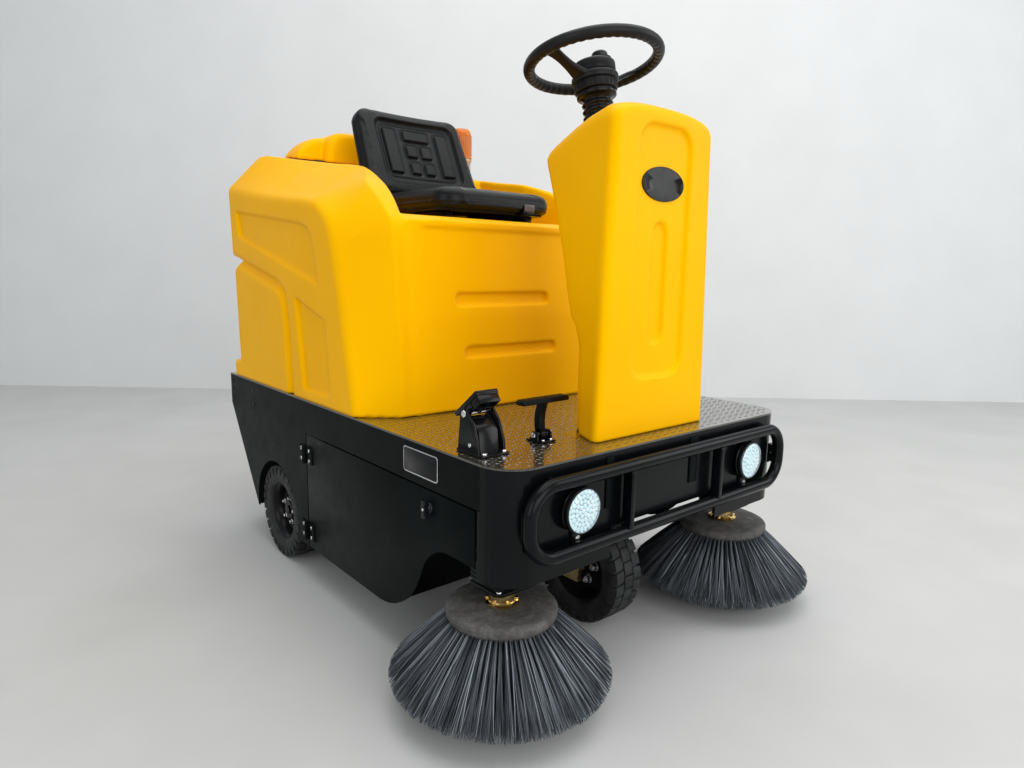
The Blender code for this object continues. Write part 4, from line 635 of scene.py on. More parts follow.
# ---------------------------------------------------------------- wheels
TYRE_R = 0.13
LUGS = 26
BLOCK_QUADS = ((6, 7, 9, 8), (8, 9, 11, 10), (0, 2, 3, 1), (2, 4, 5, 3), (0, 1, 7, 6), (4, 10, 11, 5), (0, 6, 8, 2),
               (2, 8, 10, 4), (1, 3, 9, 7), (3, 5, 11, 9))


def tyre_and_rim(tyre_name, rim_name, tyre_piece, rim_piece, body, outward):
    """Treaded tyre on a dished rim with nuts and hub."""
    low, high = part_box(tyre_name)
    centre = (Vector(low) + Vector(high)) / 2
    half = (high[0] - low[0]) / 2
    wall = [(0.0785, 0.033), (0.082, half - 0.002), (0.092, half), (0.108, half), (0.118, half - 0.001),
            (0.1225, half - 0.004), (0.124, half - 0.012)]
    b.lathe([(r, -x) for r, x in wall] + [(0.124, 0)] + wall[::-1] + [(0.077, 0.0)], centre, (1, 0, 0), 104,
            closed=True)
    pitch = math.tau / LUGS

    def block(angle, wide, side_low, side_high, bottom, top, lean):
        """Curved tread block between two angles and two side faces."""
        verts = []
        for radius in (bottom, top):
            for share in (-0.5, 0, 0.5):
                for x, slope in ((side_low, -lean), (side_high, lean)):
                    a = angle + wide * share + slope
                    verts.append(centre + Vector((x, radius * math.cos(a), radius * math.sin(a))))
        verts = b.ring(verts)
        faces = b.faces([verts[i] for i in quad] for quad in BLOCK_QUADS)
        b.round_off({e for f in faces[:2] for e in f.edges if sum(g in faces[:2] for g in e.link_faces) == 1}, 0.0012)

    for step in range(LUGS):
        angle = step * pitch
        block(angle, pitch * 0.86, -0.0125, 0.0125, 0.1225, TYRE_R - 0.0003, 0.0)
        for side in (-1, 1):
            a = angle + pitch * 0.5
            ends = sorted((side * 0.0155, side * (half - 0.0008)))
            block(a, pitch * 0.8, *ends, 0.121, TYRE_R - 0.0009, 0.012 * side)
            block(a, pitch * 0.52, side * half - 0.0018, side * half - 0.0001, 0.106, 0.1235, 0.0)
    for side in (-1, 1):
        for radius in (0.0885, 0.0985):
            b.tube([centre + Vector((side * (half - 0.0012), y, z)) for y, z in around(64, radius)], 0.0011, 6, True,
                   (1, 0, 0))
    b.piece(tyre_piece, body, "rubber", (tyre_name,), 50)

    low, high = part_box(rim_name)
    half = (high[0] - low[0]) / 2
    barrel = [(0.0779, -half), (0.0779, half), (0.0765, half), (0.0715, half - 0.0035), (0.067, half - 0.013),
              (0.064, half - 0.03), (0.06, 0.006), (0.054, 0.0), (0.044, 0.001), (0.042, 0.004),
              (0.028, 0.004), (0.0265, 0.0095), (0.0265, 0.0165), (0.0245, 0.0185), (0.0105, 0.0185),
              (0.0105, -0.0215), (0.025, -0.0215), (0.027, -0.009), (0.048, -0.007), (0.06, -0.006),
              (0.067, -half + 0.01), (0.0765, -half)]
    b.lathe(barrel, centre, (outward or 1, 0, 0), 72, closed=True)
    for side in (outward,) if outward else (-1, 1):
        face = 0.004 if side == (outward or 1) else 0.007
        for y, z in around(5, 0.035, 0.5):
            b.pins(centre + Vector((side * face, y, z)), (side, 0, 0), (
                (0.0, 0.002, 0.01, 24, 0.0005, 1), (0.0018, 0.0125, 0.0082, 6, 0.001, 1),
                (0.012, 0.0185, 0.0046, 12, 0.0012, 1)))
        for y, z in around(10, 0.0515, math.tau / 20):
            b.pins(centre + Vector((0, y, z)), (side, 0, 0), ((0.0, 0.0042, 0.003, 12, 0.0006),))
    b.piece(rim_piece, body, ["rim", "steel"], (rim_name,), 32)


tyre_and_rim("front_tyre", "front_rim", "front_tyre_treaded", "front_rim_dished", "front_wheel", 0)
for side, name in SIDES:
    tyre_and_rim(f"rear_tyre_{name}", f"rear_rim_{name}", f"rear_tyre_{name}_treaded", f"rear_rim_{name}_dished",
                 f"rear_wheel_{name}", side)

# ---------------------------------------------------------------- side brushes
TIP_LINE = [(0.2125, 0.07), (0.2115, 0.061), (0.2065, 0.052), (0.197, 0.0445), (0.182, 0.036), (0.166, 0.027),
            (0.15, 0.019), (0.13, 0.012)]
STRANDS = 6200
TUFTS = 72
ROOT_Z = 0.1735
BRUSH = (0.3633, -0.512)


def strands(x0, y0, rng):
    """Tapered bristles from the disc's rim to a bell-shaped lower edge."""
    verts, faces = [], []
    spread = math.tau / TUFTS
    for _ in range(STRANDS):
        layer = rng.random() ** 1.25
        tuft = rng.randrange(TUFTS)
        middle = spread * (tuft + (0.5 if layer > 0.5 else 0.0))
        root_a = middle + rng.uniform(-0.24, 0.24) * spread
        tip_a = middle + rng.uniform(-0.6, 0.6) * spread
        tip_r, tip_z = (np.interp(layer * (len(TIP_LINE) - 1), range(len(TIP_LINE)), line) for line in zip(*TIP_LINE))
        long = 1.0 - 0.045 * rng.random() ** 2
        root_r = 0.1035 - 0.03 * layer - 0.002 * rng.random()
        width = rng.uniform(0.00075, 0.00125) * 1.0
        spine = []
        for share in (0.0, 0.33, 0.68, 1.0):
            s = share * long
            swell = 0.0012 * math.sin(math.pi * s)
            radius = min(root_r + (tip_r - root_r) * s + swell, 0.2125)
            angle = root_a + (tip_a - root_a) * s ** 1.1
            height = ROOT_Z + (tip_z - ROOT_Z) * s + swell
            spine.append(Vector((x0 + radius * math.cos(angle), y0 + radius * math.sin(angle), max(height, 0.0045))))
        start = len(verts)
        twist = rng.uniform(0, 2 * math.pi)
        for i, point in enumerate(spine):
            along = (spine[min(i + 1, 3)] - spine[max(i - 1, 0)]).normalized()
            side = along.cross(Vector((0, 0, 1))).normalized()
            other = along.cross(side)
            thick = width * (1.0, 0.95, 0.8, 0.45)[i]
            verts += [point + side * u + other * v for u, v in around(3, thick, twist)]
        for i in range(0, 9, 3):
            for k in range(3):
                n = (k + 1) % 3
                faces.append((start + i + k, start + i + n, start + i + 3 + n, start + i + 3 + k))
        faces += [(start + 2, start + 1, start), (start + 9, start + 10, start + 11)]
    return verts, faces


def side_brush(name, side):
    at = Vector((side * BRUSH[0], BRUSH[1], 0))
    body = f"disc_brush_{name}"
    mesh = mesh_of(f"side_brush_{name}_bristles", *strands(at.x, at.y, random.Random(40 + side)))
    new_piece(f"side_brush_{name}_bristles", smooth_shaded(mesh), body, "bristle", (f"side_brush_{name}",))
    plate_line = [(0, 0.1968), (0.034, 0.1968), (0.06, 0.1962), (0.09, 0.1965), (0.0985, 0.196), (0.103, 0.194),
                  (0.1055, 0.1905), (0.106, 0.186), (0.1055, 0.18), (0.103, 0.1755), (0.099, 0.1735),
                  (0.07, 0.17), (0, 0.17)]
    b.lathe(plate_line, at, (0, 0, 1), 96)
    for u, v in around(TUFTS, 0.0985):
        b.pins(at + Vector((u, v, 0)), (0, 0, 1), ((0.166, 0.1745, 0.0038, 8, 0.0006),))
    b.piece(f"side_brush_{name}_disc", body, "felt", (), 50)
    b.lathe([(0, 0.1965), (0.0325, 0.1965), (0.0332, 0.1977), (0.0332, 0.201), (0.0318, 0.2022), (0.0275, 0.2028),
             (0.0262, 0.2045), (0.0258, 0.218), (0.0285, 0.22), (0.029, 0.2225), (0.029, 0.23), (0.0275, 0.232),
             (0, 0.232)], at, (0, 0, 1), 56)
    for u, v in around(6, 0.0285, 0.3):
        b.pins(at + Vector((u, v, 0)), (0, 0, 1), ((0.2015, 0.2065, 0.004, 6, 0.0005),))
    b.piece(f"side_brush_{name}_flange", body, "gold", (), 35)


def brush_motor(name, side):
    """Gear case and can motor over a side brush."""
    at = Vector((side * BRUSH[0], BRUSH[1], 0))
    for scale, low, high, bevel in ((0.95, 0.2325, 0.24, 0.0015), (0.93, 0.2395, 0.28, 0.003),
                                    (0.98, 0.277, 0.285, 0.0015), (0.955, 0.248, 0.251, 0.0008),
                                    (0.955, 0.256, 0.259, 0.0008), (0.955, 0.264, 0.267, 0.0008)):
        outline = [(at.x + u * scale, at.y + v * scale) for u, v in
                   ((0.038, -0.05), (0.05, -0.038), (0.05, 0.038), (0.038, 0.05),
                    (-0.038, 0.05), (-0.05, 0.038), (-0.05, -0.038), (-0.038, -0.05))]
        b.prism(outline, "XY", low, high, bevel)
    b.lathe([(0, 0.284), (0.0395, 0.284), (0.04, 0.286), (0.04, 0.32), (0.039, 0.321), (0.039, 0.324),
             (0.04, 0.325), (0.04, 0.356), (0.037, 0.364), (0.03, 0.3675), (0, 0.3678)], at, (0, 0, 1), 48)
    for u in (-1, 1):
        for v in (-1, 1):
            b.pins(at + Vector((u * 0.0385, v * 0.0385, 0)), (0, 0, 1),
                   ((0.2845, 0.2895, 0.0052, 6, 0.0006, 1), (0.24, 0.243, 0.006, 12, 0.0006, 1)))
    b.piece(f"side_brush_motor_{name}_case", f"lift_arm_{name}", ["frame", "steel"],
            (f"side_brush_motor_{name}",), 35)


for side, name in SIDES:
    side_brush(name, side)
    brush_motor(name, side)

# ---------------------------------------------------------------- steering wheel and boot
WHEEL = Matrix.Translation((0, -0.353, 1.25)) @ Matrix.Rotation(-COLUMN_LEAN, 4, "X")


def grooved_rim(b, radius, tube, grooves):
    """Ring whose inner underside has finger grooves."""
    around, across = ((384, 20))
    rings = []
    for i in range(around):
        a = 2 * math.pi * i / around
        wave = (0.5 + 0.5 * math.cos(a * grooves)) ** 1.5
        ring = []
        for k in range(across):
            p = 2 * math.pi * k / across
            facing = max(0.0, math.cos(p - math.radians(232))) ** 1.2
            r = tube * (1 - 0.1 * wave * facing)
            out = radius + r * math.cos(p)
            ring.append((out * math.cos(a), out * math.sin(a), r * math.sin(p)))
        rings.append(b.ring(ring))
    b.strip(rings, closed=True)


def flat_spoke(b, side):
    """Wide flat spoke from the hub up to the rim."""
    stations = 14
    rings = []
    for i in range(stations + 1):
        s = i / stations
        x = side * (0.026 + (0.138 - 0.026) * s)
        z = -0.036 + 0.038 * (3 * s ** 2 - 2 * s ** 3)
        half = 0.03 - 0.014 * math.sin(math.pi * min(s * 0.9 + 0.05, 1)) - 0.008 * s
        thick = 0.0085 - 0.004 * s
        ring = []
        for k in range(20):
            p = 2 * math.pi * k / 20
            cu, cv = math.cos(p), math.sin(p)
            u = half * abs(cu) ** 0.45 * (1 if cu >= 0 else -1)
            v = thick * abs(cv) ** 0.7 * (1 if cv >= 0 else -1)
            dish = 0.0022 * max(0.0, 1 - (u / half) ** 2) * math.sin(math.pi * s) * (1 if v > 0 else 0)
            ring.append((x, u, z + v - dish))
        rings.append(b.ring(ring))
    b.strip(rings, caps=True)


grooved_rim(b, 0.138, 0.0125, 48)
for side in (-1, 1):
    flat_spoke(b, side)
b.lathe([(0, -0.064), (0.0435, -0.064), (0.0455, -0.062), (0.046, -0.048), (0.045, -0.0455), (0.049, -0.044),
         (0.05, -0.042), (0.05, -0.033), (0.0485, -0.031), (0.044, -0.03), (0.0432, -0.028),
         (0.045, -0.0265), (0.0458, -0.024), (0.0458, -0.009), (0.0448, -0.006), (0.042, -0.0035),
         (0.038, -0.0022), (0.025, -0.0016), (0, -0.0016)], (0, 0, 0), (0, 0, 1), 72)
for step in range(24):
    a = 2 * math.pi * step / 24
    b.box((0.045, -0.0018, -0.06), (0.0468, 0.0018, -0.0495), 0.0005, Matrix.Rotation(a, 4, "Z"))
b.piece("steering_wheel_grip", "steering", "plastic", ("steering_wheel",), 40, WHEEL)

b.lathe([(0, -0.002), (0.0235, -0.002), (0.0245, -0.001), (0.0242, 0.002), (0.0215, 0.0036), (0.018, 0.0042),
         (0.0172, 0.006), (0.0172, 0.012), (0.016, 0.015), (0.0125, 0.0175), (0.007, 0.019), (0, 0.0194)],
        (0.006, -0.014, 0), (0, 0, 1), 56)
b.piece("hub_cap_dome", "steering", "gloss", ("hub_cap",), 40, WHEEL)

boot_low, boot_high = -0.188, -0.0765
boot = [(0.0105, boot_low), (0.031, boot_low)]
RIBS = 8
for step in range(RIBS * 6 + 1):
    share = step / (RIBS * 6)
    boot.append((0.0312 + 0.0026 * math.cos(2 * math.pi * share * RIBS), boot_low + (boot_high - boot_low) * share))
boot += [(0.04, boot_high + 0.0004), (0.0425, boot_high + 0.002), (0.0425, boot_high + 0.0095),
         (0.0405, boot_high + 0.0118), (0.0105, boot_high + 0.0118)]
b.lathe(boot, (0, 0, 0), (0, 0, 1), 48, closed=True)
b.piece("column_bellows_ribbed", "chassis", "gloss", ("column_bellows",), 60, WHEEL)

# ---------------------------------------------------------------- badge and dash
b.strip([b.ring([(u, -0.554 - level, 0.983 + 0.0335 / 0.0655 * v) for u, v in around(64, 0.0655 * size)])
         for level, size in ((0.0, 1.0), (0.0024, 1.0), (0.0032, 0.985), (0.0032, 0.955), (0.0026, 0.945),
                             (0.0027, 0.5))], caps=True)
b.piece("cowl_badge_blank", "chassis", "gloss", (), 50)

panel_low, panel_high = (Vector(c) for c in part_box("control_panel"))
panel_size = panel_high - panel_low
PANEL = (Matrix.Translation((panel_low + panel_high) / 2)
         @ Matrix.Rotation(-math.atan2(panel_size.z - 0.01, panel_size.y), 4, "X"))
b.prism([(-0.094, -0.03), (-0.086, -0.037), (0.086, -0.037), (0.094, -0.03), (0.094, 0.03),
         (0.086, 0.037), (-0.086, 0.037), (-0.094, 0.03)], "XY", -0.0048, 0.0026, 0.0014)
for at, radius in ((0.06, 0.0165), (-0.06, 0.0175)):
    b.lathe([(radius - 0.004, 0.002), (radius - 0.004, 0.0046), (radius - 0.001, 0.005), (radius, 0.004),
             (radius, 0.002)], (at, 0, 0), (0, 0, 1), 40, index=1, closed=True)
b.box((-0.03, -0.018, 0.002), (0.03, 0.018, 0.004), 0.0012)
b.box((-0.026, -0.014, 0.0036), (0.026, 0.014, 0.0044), 0.0006, index=2)
for u in (-0.084, 0.084):
    for v in (-0.029, 0.029):
        b.rod((u, v, 0.0022), (u, v, 0.0044), 0.003, 16, 0.0006, 1)
b.piece("control_panel_bezel", "chassis", ["plastic", "steel", "gloss"], ("control_panel",), 35,
        PANEL)

b.lathe([(0, -0.004), (0.0105, -0.004), (0.0105, 0.004), (0.0175, 0.005), (0.0188, 0.007), (0.0186, 0.01),
         (0.0165, 0.0122), (0.01, 0.0136), (0, 0.014)], (-0.06, 0, 0), (0, 0, 1), 48)
for step in range(3):
    a = 2 * math.pi * step / 3
    b.tube([(-0.06 + 0.0125 * math.cos(a + t), 0.0125 * math.sin(a + t), 0.0128) for t in np.linspace(0, 1.3, 9)],
           0.0009, 6)
b.piece("stop_button_mushroom", "stop", "red", ("stop_button",), 40, PANEL)

# ---------------------------------------------------------------- beacon
LENS_LOW, LENS_HIGH = (Vector(c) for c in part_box("beacon_lens"))
beacon = (LENS_LOW + LENS_HIGH) / 2
UP = (0, 0, 1)
axis = (beacon.x, beacon.y, LENS_LOW.z)
b.lathe([(0.0332, 0.0002), (0.0346, 0.0012), (0.0346, 0.006), (0.033, 0.008), (0.0322, 0.06), (0.0312, 0.078),
         (0.0285, 0.0865), (0.023, 0.091), (0.012, 0.0932), (0, 0.0936), (0, 0.0905), (0.02, 0.0885),
         (0.029, 0.078), (0.03, 0.008), (0.03, 0.0002)], axis, UP, 64, closed=True)
for u, v in around(36, 0.0324):
    b.pins((beacon.x + u, beacon.y + v, LENS_LOW.z), UP, ((0.009, 0.072, 0.0013, 6),))
b.piece("beacon_lens_ribbed", "chassis", "amber", ("beacon_lens",), 40)
b.lathe([(0, -0.02), (0.007, 0.001), (0.013, 0.02), (0.015, 0.05), (0.012, 0.07), (0, 0.076)], axis, UP, 32)
b.piece("beacon_reflector", "chassis", "mirror", (), 40)
foot_low, foot_high = (Vector(c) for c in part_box("beacon_base"))
tall = foot_high.z - foot_low.z
b.lathe([(0.01, 0.004), (0.0335, 0.004), (0.0338, 0.01), (0.03, 0.013), (0.0292, 0.016),
         (0.0292, tall - 0.012), (0.0325, tall - 0.009), (0.0338, tall - 0.007), (0.0338, tall - 0.0004),
         (0.01, tall - 0.0004)], (beacon.x, beacon.y, foot_low.z), UP, 64, closed=True)
for u, v in around(16, 0.0293):
    b.pins((beacon.x + u, beacon.y + v, foot_low.z), UP, ((0.016, tall - 0.012, 0.0014, 6),))
b.piece("beacon_foot_ribbed", "chassis", "pale", ("beacon_base",), 40)

# ---------------------------------------------------------------- seat
SEAT_STEP = 0.0042


def read(mesh, what="co"):
    values = np.empty(len(mesh.vertices) * 3, np.float32)
    mesh.vertices.foreach_get(what, values)
    return values.reshape(-1, 3)


def cloth_swell(obj, hold, pressure=4.0, cap=0.003, frames=20):
    """Let a closed cushion swell by a cloth simulation, moving no point past cap, and apply it."""
    scene = bpy.context.scene
    rest = read(obj.data)
    group = obj.vertex_groups.new(name="held")
    group.add([i for i, co in enumerate(rest) if hold(co)], 1.0, "REPLACE")
    modifier = obj.modifiers.new("cloth", "CLOTH")
    settings = modifier.settings
    settings.use_pressure = True
    settings.uniform_pressure_force = pressure
    settings.effector_weights.gravity = 0.0
    settings.vertex_group_mass = "held"
    settings.quality = 5
    settings.mass = 0.3
    modifier.collision_settings.use_collision = False
    modifier.point_cache.frame_start = 1
    modifier.point_cache.frame_end = frames
    for number in range(1, frames + 1):
        scene.frame_set(number)
    swollen = obj.evaluated_get(bpy.context.evaluated_depsgraph_get())
    moved = read(swollen.to_mesh()) - rest
    length = np.linalg.norm(moved, axis=1)
    moved *= (np.minimum(length, cap) / np.maximum(length, 1e-9))[:, None]
    swollen.to_mesh_clear()
    obj.modifiers.remove(modifier)
    obj.vertex_groups.clear()
    obj.data.vertices.foreach_set("co", (rest + moved).ravel())
    obj.data.update()
    scene.frame_set(1)


def subdivided(obj):
    """Apply one subdivision."""
    modifier = obj.modifiers.new("smooth", "SUBSURF")
    modifier.levels = modifier.render_levels = 1
    graph = bpy.context.evaluated_depsgraph_get()
    mesh = bpy.data.meshes.new_from_object(obj.evaluated_get(graph))
    obj.modifiers.clear()
    old = obj.data
    obj.data = mesh
    bpy.data.meshes.remove(old)


def emboss(obj, into, height, facing):
    """Press seams and pads into the face that looks along facing, and run a bead round the sides."""
    co, normal = read(obj.data), read(obj.data, "normal")
    out = np.array(facing, np.float32)
    face = np.clip((normal @ out - 0.35) / 0.35, 0, 1)
    u, v, w = into(co)
    bead = 0.001 * np.exp(-(w / 0.002) ** 2)
    co += out * (height(u, v) * face)[:, None] + normal * (bead * (1 - face))[:, None]
    obj.data.vertices.foreach_set("co", co.ravel())
    obj.data.update()


def pad(u, v, cu, cv, hu, hv, radius=0.006, rise=0.0052, soft=0.0046):
    """Raised block with a soft edge and a narrow valley round it."""
    d = rounded_rect(u - cu, v - cv, hu, hv, radius)
    return rise * ease(-d, -soft * 0.2, soft) - 0.0026 * np.exp(-((d - 0.0012) / 0.0026) ** 2)


def panel_relief(u, v, half_u, half_v, pads):
    """Sunken panel with a seam line and its raised pads."""
    d = rounded_rect(u, v, half_u, half_v, 0.03)
    relief = -0.0105 * ease(-d, -0.003, 0.01) + 0.0016 * np.exp(-((d + 0.0005) / 0.003) ** 2)
    inner = rounded_rect(u, v, half_u - 0.02, half_v - 0.016, 0.018)
    relief = relief + 0.002 * ease(-inner, 0.0, 0.005) - 0.0012 * np.exp(-((inner - 0.0015) / 0.0022) ** 2)
    for spec in pads:
        relief = relief + pad(u, v, *spec)
    return relief


def cushion_field(x, y, z):
    low, high = -0.064, 0.296
    middle, half = (low + high) / 2, (high - low) / 2
    outline = rounded_rect(x, y - middle, 0.1835, half, 0.062)
    crown = 1.008 - 0.007 * np.clip(1 + outline / 0.1, 0, 1) ** 2
    return smax(outline, np.maximum(z - crown, 0.954 - z), 0.024)


SEAT_PADS = ((-0.098, 0.0, 0.02, 0.098), (0.098, 0.0, 0.02, 0.098), (0.0, -0.085, 0.052, 0.02),
             (-0.03, -0.035, 0.02, 0.018), (0.03, -0.035, 0.02, 0.018),
             (-0.03, 0.02, 0.02, 0.02), (0.03, 0.02, 0.02, 0.02), (0.0, 0.072, 0.052, 0.018))
seat = field_piece("seat_cushion_pad", cushion_field, (-0.20, -0.075, 0.945), (0.20, 0.310, 1.015), SEAT_STEP, "seat",
                   "vinyl", ("seat_cushion",))
cloth_swell(seat, lambda co: co[2] < 0.962)
subdivided(seat)
emboss(seat, lambda co: (co[:, 0], co[:, 1] - 0.128, co[:, 2] - 0.972),
       lambda u, v: panel_relief(u, v, 0.14, 0.13, SEAT_PADS), (0, 0, 1))

LEAN = 0.44
BACK = Matrix.Translation((0, 0.272, 1.0274)) @ Matrix.Rotation(-LEAN, 4, "X")
BACK_IN = np.array(BACK.inverted())


def back_local(co):
    co = np.asarray(co, float)
    return co @ BACK_IN[:3, :3].T + BACK_IN[:3, 3]


def backrest_field(x, y, z):
    u, w, v = np.moveaxis(back_local(np.stack([x, y, z], -1)), -1, 0)
    outline = rounded_rect(u + 0.006, v - 0.119, 0.173 + 0.06 * (0.25 - v), 0.135, 0.04)
    curve = 0.01 * (u / 0.17) ** 2
    return smax(outline, np.maximum(0.004 - w - curve * 0.6, w - 0.046 - curve * 0.2), 0.018)


back_low, back_high = (Vector(c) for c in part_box("seat_backrest"))
margin = Vector((0.01, 0.01, 0.01))
backrest = field_piece("seat_backrest_pad", backrest_field, back_low - margin, back_high + margin, SEAT_STEP,
                       "seat", "vinyl",
                       ("seat_backrest",))
cloth_swell(backrest, lambda co: back_local(co[None])[0][1] > 0.04)
subdivided(backrest)
BACK_PADS = ((-0.088, 0.0, 0.022, 0.07), (0.088, 0.0, 0.022, 0.07), (0.0, 0.054, 0.044, 0.017),
             (-0.0245, 0.004, 0.019, 0.02), (0.0245, 0.004, 0.019, 0.02),
             (-0.0235, -0.05, 0.017, 0.019), (0.0235, -0.05, 0.017, 0.019))


def back_uv(co):
    p = back_local(co)
    return p[:, 0], p[:, 2] - 0.123, p[:, 1] - 0.026


emboss(backrest, back_uv, lambda u, v: panel_relief(u, v, 0.134, 0.1, BACK_PADS),
       tuple((BACK.to_3x3() @ Vector((0, -1, 0)))))

for side in (-1, 1):
    for x_low, x_high, z_low, z_high in ((0.118, 0.15, 0.9303, 0.9335), (0.12, 0.148, 0.9335, 0.944),
                                         (0.112, 0.15, 0.944, 0.95)):
        b.box((side * x_low, 0.002, z_low), (side * x_high, 0.258, z_high), 0.001)
    for y in (0.02, 0.24):
        b.rod((side * 0.131, y, 0.933), (side * 0.131, y, 0.9375), 0.006, 6, 0.0008, 1)
for y in (0.04, 0.2):
    b.box((-0.118, y, 0.932), (0.118, y + 0.02, 0.936), 0.001)
b.piece("seat_slide_rails", "chassis", ["frame", "steel"], ("seat_slide",), 35)

b.prism([(-0.145, -0.042), (0.145, -0.042), (0.172, -0.014), (0.172, 0.262), (0.145, 0.288), (-0.145, 0.288),
         (-0.172, 0.262), (-0.172, -0.014)], "XY", 0.95, 0.96, 0.0025)
for side in (-1, 1):
    b.tube([(side * 0.166, 0.2, 0.956), (side * 0.176, 0.235, 0.96), (side * 0.17, 0.275, 0.99),
            (side * 0.16, 0.292, 1.025)], 0.008, 12, up=(1, 0, 0))
b.box((0.06, -0.066, 0.948), (0.1, -0.03, 0.96), 0.002)
b.piece("seat_pan", "seat", ["frame"], (), 40)
b.box((0.064, -0.069, 0.9585), (0.096, -0.0635, 0.976), 0.0014)
b.piece("seat_tag", "seat", "grey", (), 40)

# ---------------------------------------------------------------- front guard, lamps and front panel
GUARD_Y = -0.6275
GUARD_TUBE = 0.013
guard_half, guard_low, guard_top, guard_corner = 0.4, 0.319, 0.45, 0.055
loop = rounded_outline(-guard_half, guard_half, guard_low, guard_top, guard_corner, 14)
b.tube([(x, GUARD_Y, z) for x, z in loop], GUARD_TUBE, 28, True, (0, 1, 0))
for side in (-1, 1):
    x = side * 0.147
    b.box((x - 0.006, GUARD_Y - 0.011, guard_low + 0.004), (x + 0.006, GUARD_Y + 0.011, guard_top - 0.004), 0.0012)
    for level in (guard_low + GUARD_TUBE - 0.0012, guard_top - GUARD_TUBE + 0.0012):
        b.box((x - 0.0082, GUARD_Y - 0.0122, level - 0.0022), (x + 0.0082, GUARD_Y + 0.0122, level + 0.0022), 0.002,
              segments=3)
    stay = side * 0.3935
    for level in (guard_low + guard_corner, guard_top - guard_corner):
        b.box((stay - 0.005, GUARD_Y, level - 0.008), (stay + 0.005, -0.6103, level + 0.008), 0.001)
        b.box((stay - 0.012, -0.6128, level - 0.013), (stay + 0.012, -0.6104, level + 0.013), 0.001)
        for shift in (-0.0095, 0.0095):
            b.rod((stay, -0.6125, level + shift), (stay, -0.615, level + shift), 0.0026, 6, 0.0004, 1)
b.piece("front_guard_hoop", "chassis", ["frame", "steel"], ("front_guard",), 40)


def headlamp(side, name):
    """Round work lamp: ribbed housing, bright bezel, field of small emitters and a clear dish."""
    at = (side * 0.274, 0, 0.389)
    out = (0, -1, 0)
    b.lathe([(0, 0.6106), (0.03, 0.6106), (0.034, 0.6115), (0.04, 0.615), (0.043, 0.6185), (0.0438, 0.6205),
             (0.0428, 0.6215), (0.0428, 0.6228), (0.0438, 0.6238), (0.044, 0.63), (0.0432, 0.6316),
             (0.0405, 0.6318), (0.0398, 0.629), (0, 0.628)], at, out, 72)
    x = at[0]
    b.box((x - 0.012, -0.616, 0.3232), (x + 0.012, -0.6106, 0.354), 0.0012)
    b.pins((x, 0, 0.333), out, ((0.6158, 0.6185, 0.006, 20, 0.001, 1), (0.618, 0.62, 0.0036, 6, 0.0006, 1)))
    b.piece(f"headlamp_{name}_housing", "chassis", ["gloss", "steel"], (f"headlamp_{name}",), 35)
    b.lathe([(0, 0.6284), (0.0394, 0.6284), (0.0396, 0.6312), (0.0386, 0.6318), (0.038, 0.6296), (0, 0.6292)],
            at, out, 56)
    for radius, count in ((0, 1), (0.0092, 6), (0.0178, 12), (0.0262, 18), (0.034, 24)):
        for u, v in around(count, radius, radius * 20):
            b.lathe([(0.004, 0.0), (0.0037, 0.0012), (0.0026, 0.0021), (0, 0.0025)], (x + u, -0.6292, at[2] + v), out,
                    12, 1)
    b.piece(f"headlamp_{name}_emitters", "chassis", ["mirror", "led"], (), 45)
    b.lathe([(0, 0.6412), (0.018, 0.6404), (0.032, 0.6378), (0.0388, 0.6346), (0.0404, 0.633), (0.0404, 0.6324),
             (0.0385, 0.6324), (0.0318, 0.6362), (0.018, 0.6388), (0, 0.6396)], at, out, 72)
    b.piece(f"headlamp_{name}_dish", "chassis", "clear", (f"headlamp_lens_{name}",), 60)


for side, name in SIDES:
    headlamp(side, name)

for low, high in ((-0.196, -0.1765), (0.065, 0.0915)):
    b.box((low, -0.6132, 0.37), (high, -0.6104, 0.47), 0.0014)
FORWARD = (0, -1, 0)
b.pins((-0.293, 0, 0.317), FORWARD, ((0.6106, 0.6125, 0.009, 24, 0.0005, 1), (0.6122, 0.6175, 0.0062, 6, 0.0008, 1)))
for side in (-1, 1):
    for z in (0.3, 0.455):
        b.pins((side * 0.34, 0, z), FORWARD, ((0.6104, 0.6128, 0.0048, 20, 0.0012, 2),))
b.piece("front_panel_fittings", "chassis", ["sheet", "gold", "frame"], (), 35)

# ---------------------------------------------------------------- embossed deck
PITCH = 0.0125
rng = random.Random(5)
for row in range(-46, 47):
    for column in range(-34, 35):
        u, v = column * PITCH, row * PITCH + (PITCH / 2 if column % 2 else 0)
        y = v - 0.02
        if not -0.6 < y < 0.02 or abs(u) > 0.43:
            continue
        edge = math.hypot(max(abs(u) - 0.37, 0), max(-0.54 - y, 0))
        if edge > 0.06 or (abs(u) < 0.165 and -0.548 < y < -0.462):
            continue
        turn = math.radians(45 if (row + column) % 2 else -45) + rng.uniform(-0.05, 0.05)
        c, s = math.cos(turn), math.sin(turn)
        rings = [b.ring([(u + wide * p * c - tall * q * s, y + wide * p * s + tall * q * c, z)
                         for p, q in around(8, 1.0)])
                 for wide, tall, z in ((0.0052, 0.0022, 0.4824), (0.004, 0.0012, 0.4831))]
        b.strip(rings)
        b.faces([rings[1]])
b.piece("deck_tread", "chassis", "deck", (), 60)
edge = ([(0.4385, 0.7), (0.4385, -0.1), (0.4385, -0.54)] + arc((0.37, -0.54), 0.0685, 0, -90, 12)
        + arc((-0.37, -0.54), 0.0685, -90, -180, 12) + [(-0.4385, -0.1), (-0.4385, 0.7)])
b.tube([(x, y, 0.4812) for x, y in edge], 0.0014, 8)
b.piece("deck_edge_bead", "chassis", "frame", (), 60)

